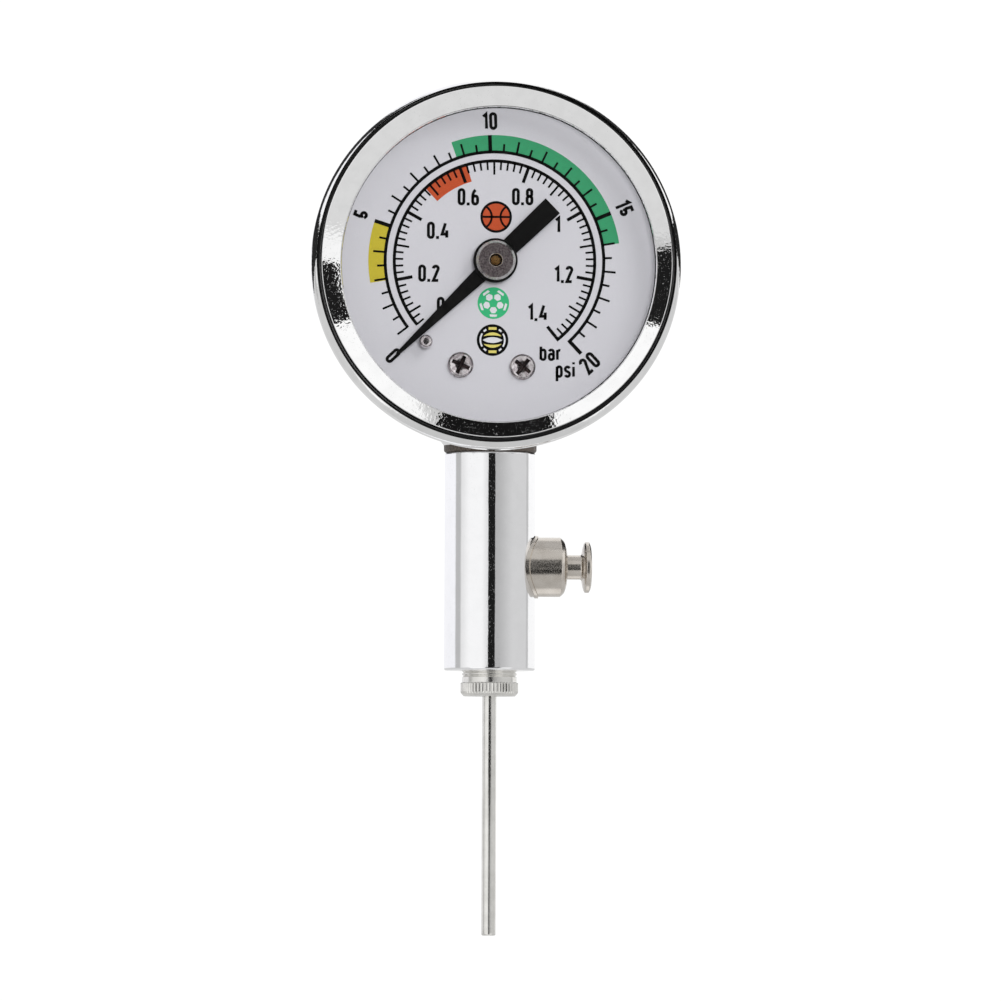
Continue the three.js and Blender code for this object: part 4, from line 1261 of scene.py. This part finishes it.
def mirror_card(name, radius, height, tilts, clocks, distance, value, taper=0.0):
    """A dark card that only reflections see, just where a ring's surface mirrors it to the camera: between
    two clock angles of the ring, for the parts of it that tilt outwards by between two angles. With a
    taper, that part of its length at each end narrows towards the most tilted side."""
    view = direction(VIEW_AZIMUTH, VIEW_ELEVATION)
    rows = []
    bm = bmesh.new()
    steps = 10
    for i in range(steps + 1):
        across, along = clock(1, clocks[0] + (clocks[1] - clocks[0]) * i / steps)
        narrow = max(0.0, 1 - min(i, steps - i) / (steps * taper)) if taper else 0.0
        row = []
        for tilt in tilts:
            lean = math.radians(tilt + (tilts[-1] - POINTED - tilt) * narrow * (tilt < tilts[-1]))
            normal = Vector((across * math.sin(lean), -math.cos(lean), along * math.sin(lean)))
            mirrored = 2 * normal.dot(view) * normal - view
            spot = Vector((across * radius, -height, along * radius + CASE_Z)) + mirrored * distance
            row.append(bm.verts.new(spot))
        rows.append(row)
    for one, two in zip(rows, rows[1:]):
        for k in range(len(tilts) - 1):
            bm.faces.new((one[k], one[k + 1], two[k + 1], two[k]))
    finish, s = material(name)
    s.finish("ShaderNodeEmission", Color=grey(value))
    made = make_object(name, bm, UPRIGHT, [finish])
    hide_from(made, "camera", "shadow", "diffuse", "transmission")


def floor():
    """A pale sweep that the gauge hangs above. It ends behind every camera that looks at the gauge."""
    bm = bmesh.new()
    front, back, side, level, top, bend = -900, 2600, 2600, -60, 3000, 260
    line = [(front, level)] + arc((back - bend, level + bend), bend, -90, 0, 24) + [(back, top)]
    rows = [[bm.verts.new((x, y, z)) for x in (-side, side)] for y, z in line]
    for one, two in zip(rows, rows[1:]):
        bm.faces.new((one[0], one[1], two[1], two[0]))
    finish, s = material("pale floor")
    glow = s.add("ShaderNodeEmission", Color=grey(0.9)).outputs[0]
    matt = s.add("ShaderNodeBsdfDiffuse", Color=grey(0.25)).outputs[0]
    both = s.add("ShaderNodeAddShader")
    s.tree.links.new(glow, both.inputs[0])
    s.tree.links.new(matt, both.inputs[1])
    s.add("ShaderNodeOutputMaterial", Surface=both.outputs[0])
    made = make_object("floor", bm, UPRIGHT, [finish])
    hide_from(made, "glossy", "diffuse", "transmission", "shadow")


def lamp(name, around, up, distance, size, watts):
    away = direction(around, up)
    data = bpy.data.lights.new(name, "AREA")
    data.shape = "DISK"
    data.size = size
    data.energy = watts
    made = bpy.data.objects.new(name, data)
    made.location = Vector((0, 0, CASE_Z * MM)) + away * distance
    made.rotation_euler = away.to_track_quat("Z", "Y").to_euler()
    hide_from(made, "glossy", "transmission")
    bpy.context.collection.objects.link(made)


def camera():
    """Looks at the gauge from slightly to its left and slightly below, from far enough to stay flat."""
    distance, focal_length, sensor, roll = 1.2, 300.4, 36, 0.214
    target = Vector((1.507, 0, 28.148)) * MM
    away = direction(VIEW_AZIMUTH, VIEW_ELEVATION)
    data = bpy.data.cameras.new("camera")
    data.lens = focal_length
    data.sensor_width = sensor
    data.clip_start = 0.01
    data.clip_end = 20
    made = bpy.data.objects.new("camera", data)
    made.matrix_world = (
        Matrix.Translation(target + away * distance)
        @ away.to_track_quat("Z", "Y").to_matrix().to_4x4()
        @ Matrix.Rotation(math.radians(roll), 4, "Z")
    )
    bpy.context.collection.objects.link(made)
    bpy.context.scene.camera = made


camera()
case_shell()
bezel()
window()
dial_disc()
psi_scale()
bar_scale()
colour_bands()
numerals()
basketball_mark()
football_mark()
volleyball_mark()
dial_screws()
stop_pin()
pointer()
hub_cap()
stem()
saddle()
boss()
boss_foot()
button()
bleed_spring()
collar()
needle()
bourdon()
finish_cad_nodes()

studio_world()
floor()
mirror_card("right card", *FACE_RING, (83, 110), 56, 0.012)
mirror_card("left card", *FACE_RING, (250, 271), 56, 0.012)
mirror_card("lower card", *FACE_RING, (160, 201), 75, 0.008)
mirror_card("right bead card", *BEAD_RING, (68, 95), 60, 0.02, 0.4)
mirror_card("left bead card", *BEAD_RING, (262, 290), 60, 0.02, 0.4)
lamp("key", 36, 34, 0.6, 0.35, 1.2)
lamp("front", 3, 5, 1.0, 0.3, 4.8)
bpy.context.scene.view_settings.view_transform = "Standard"
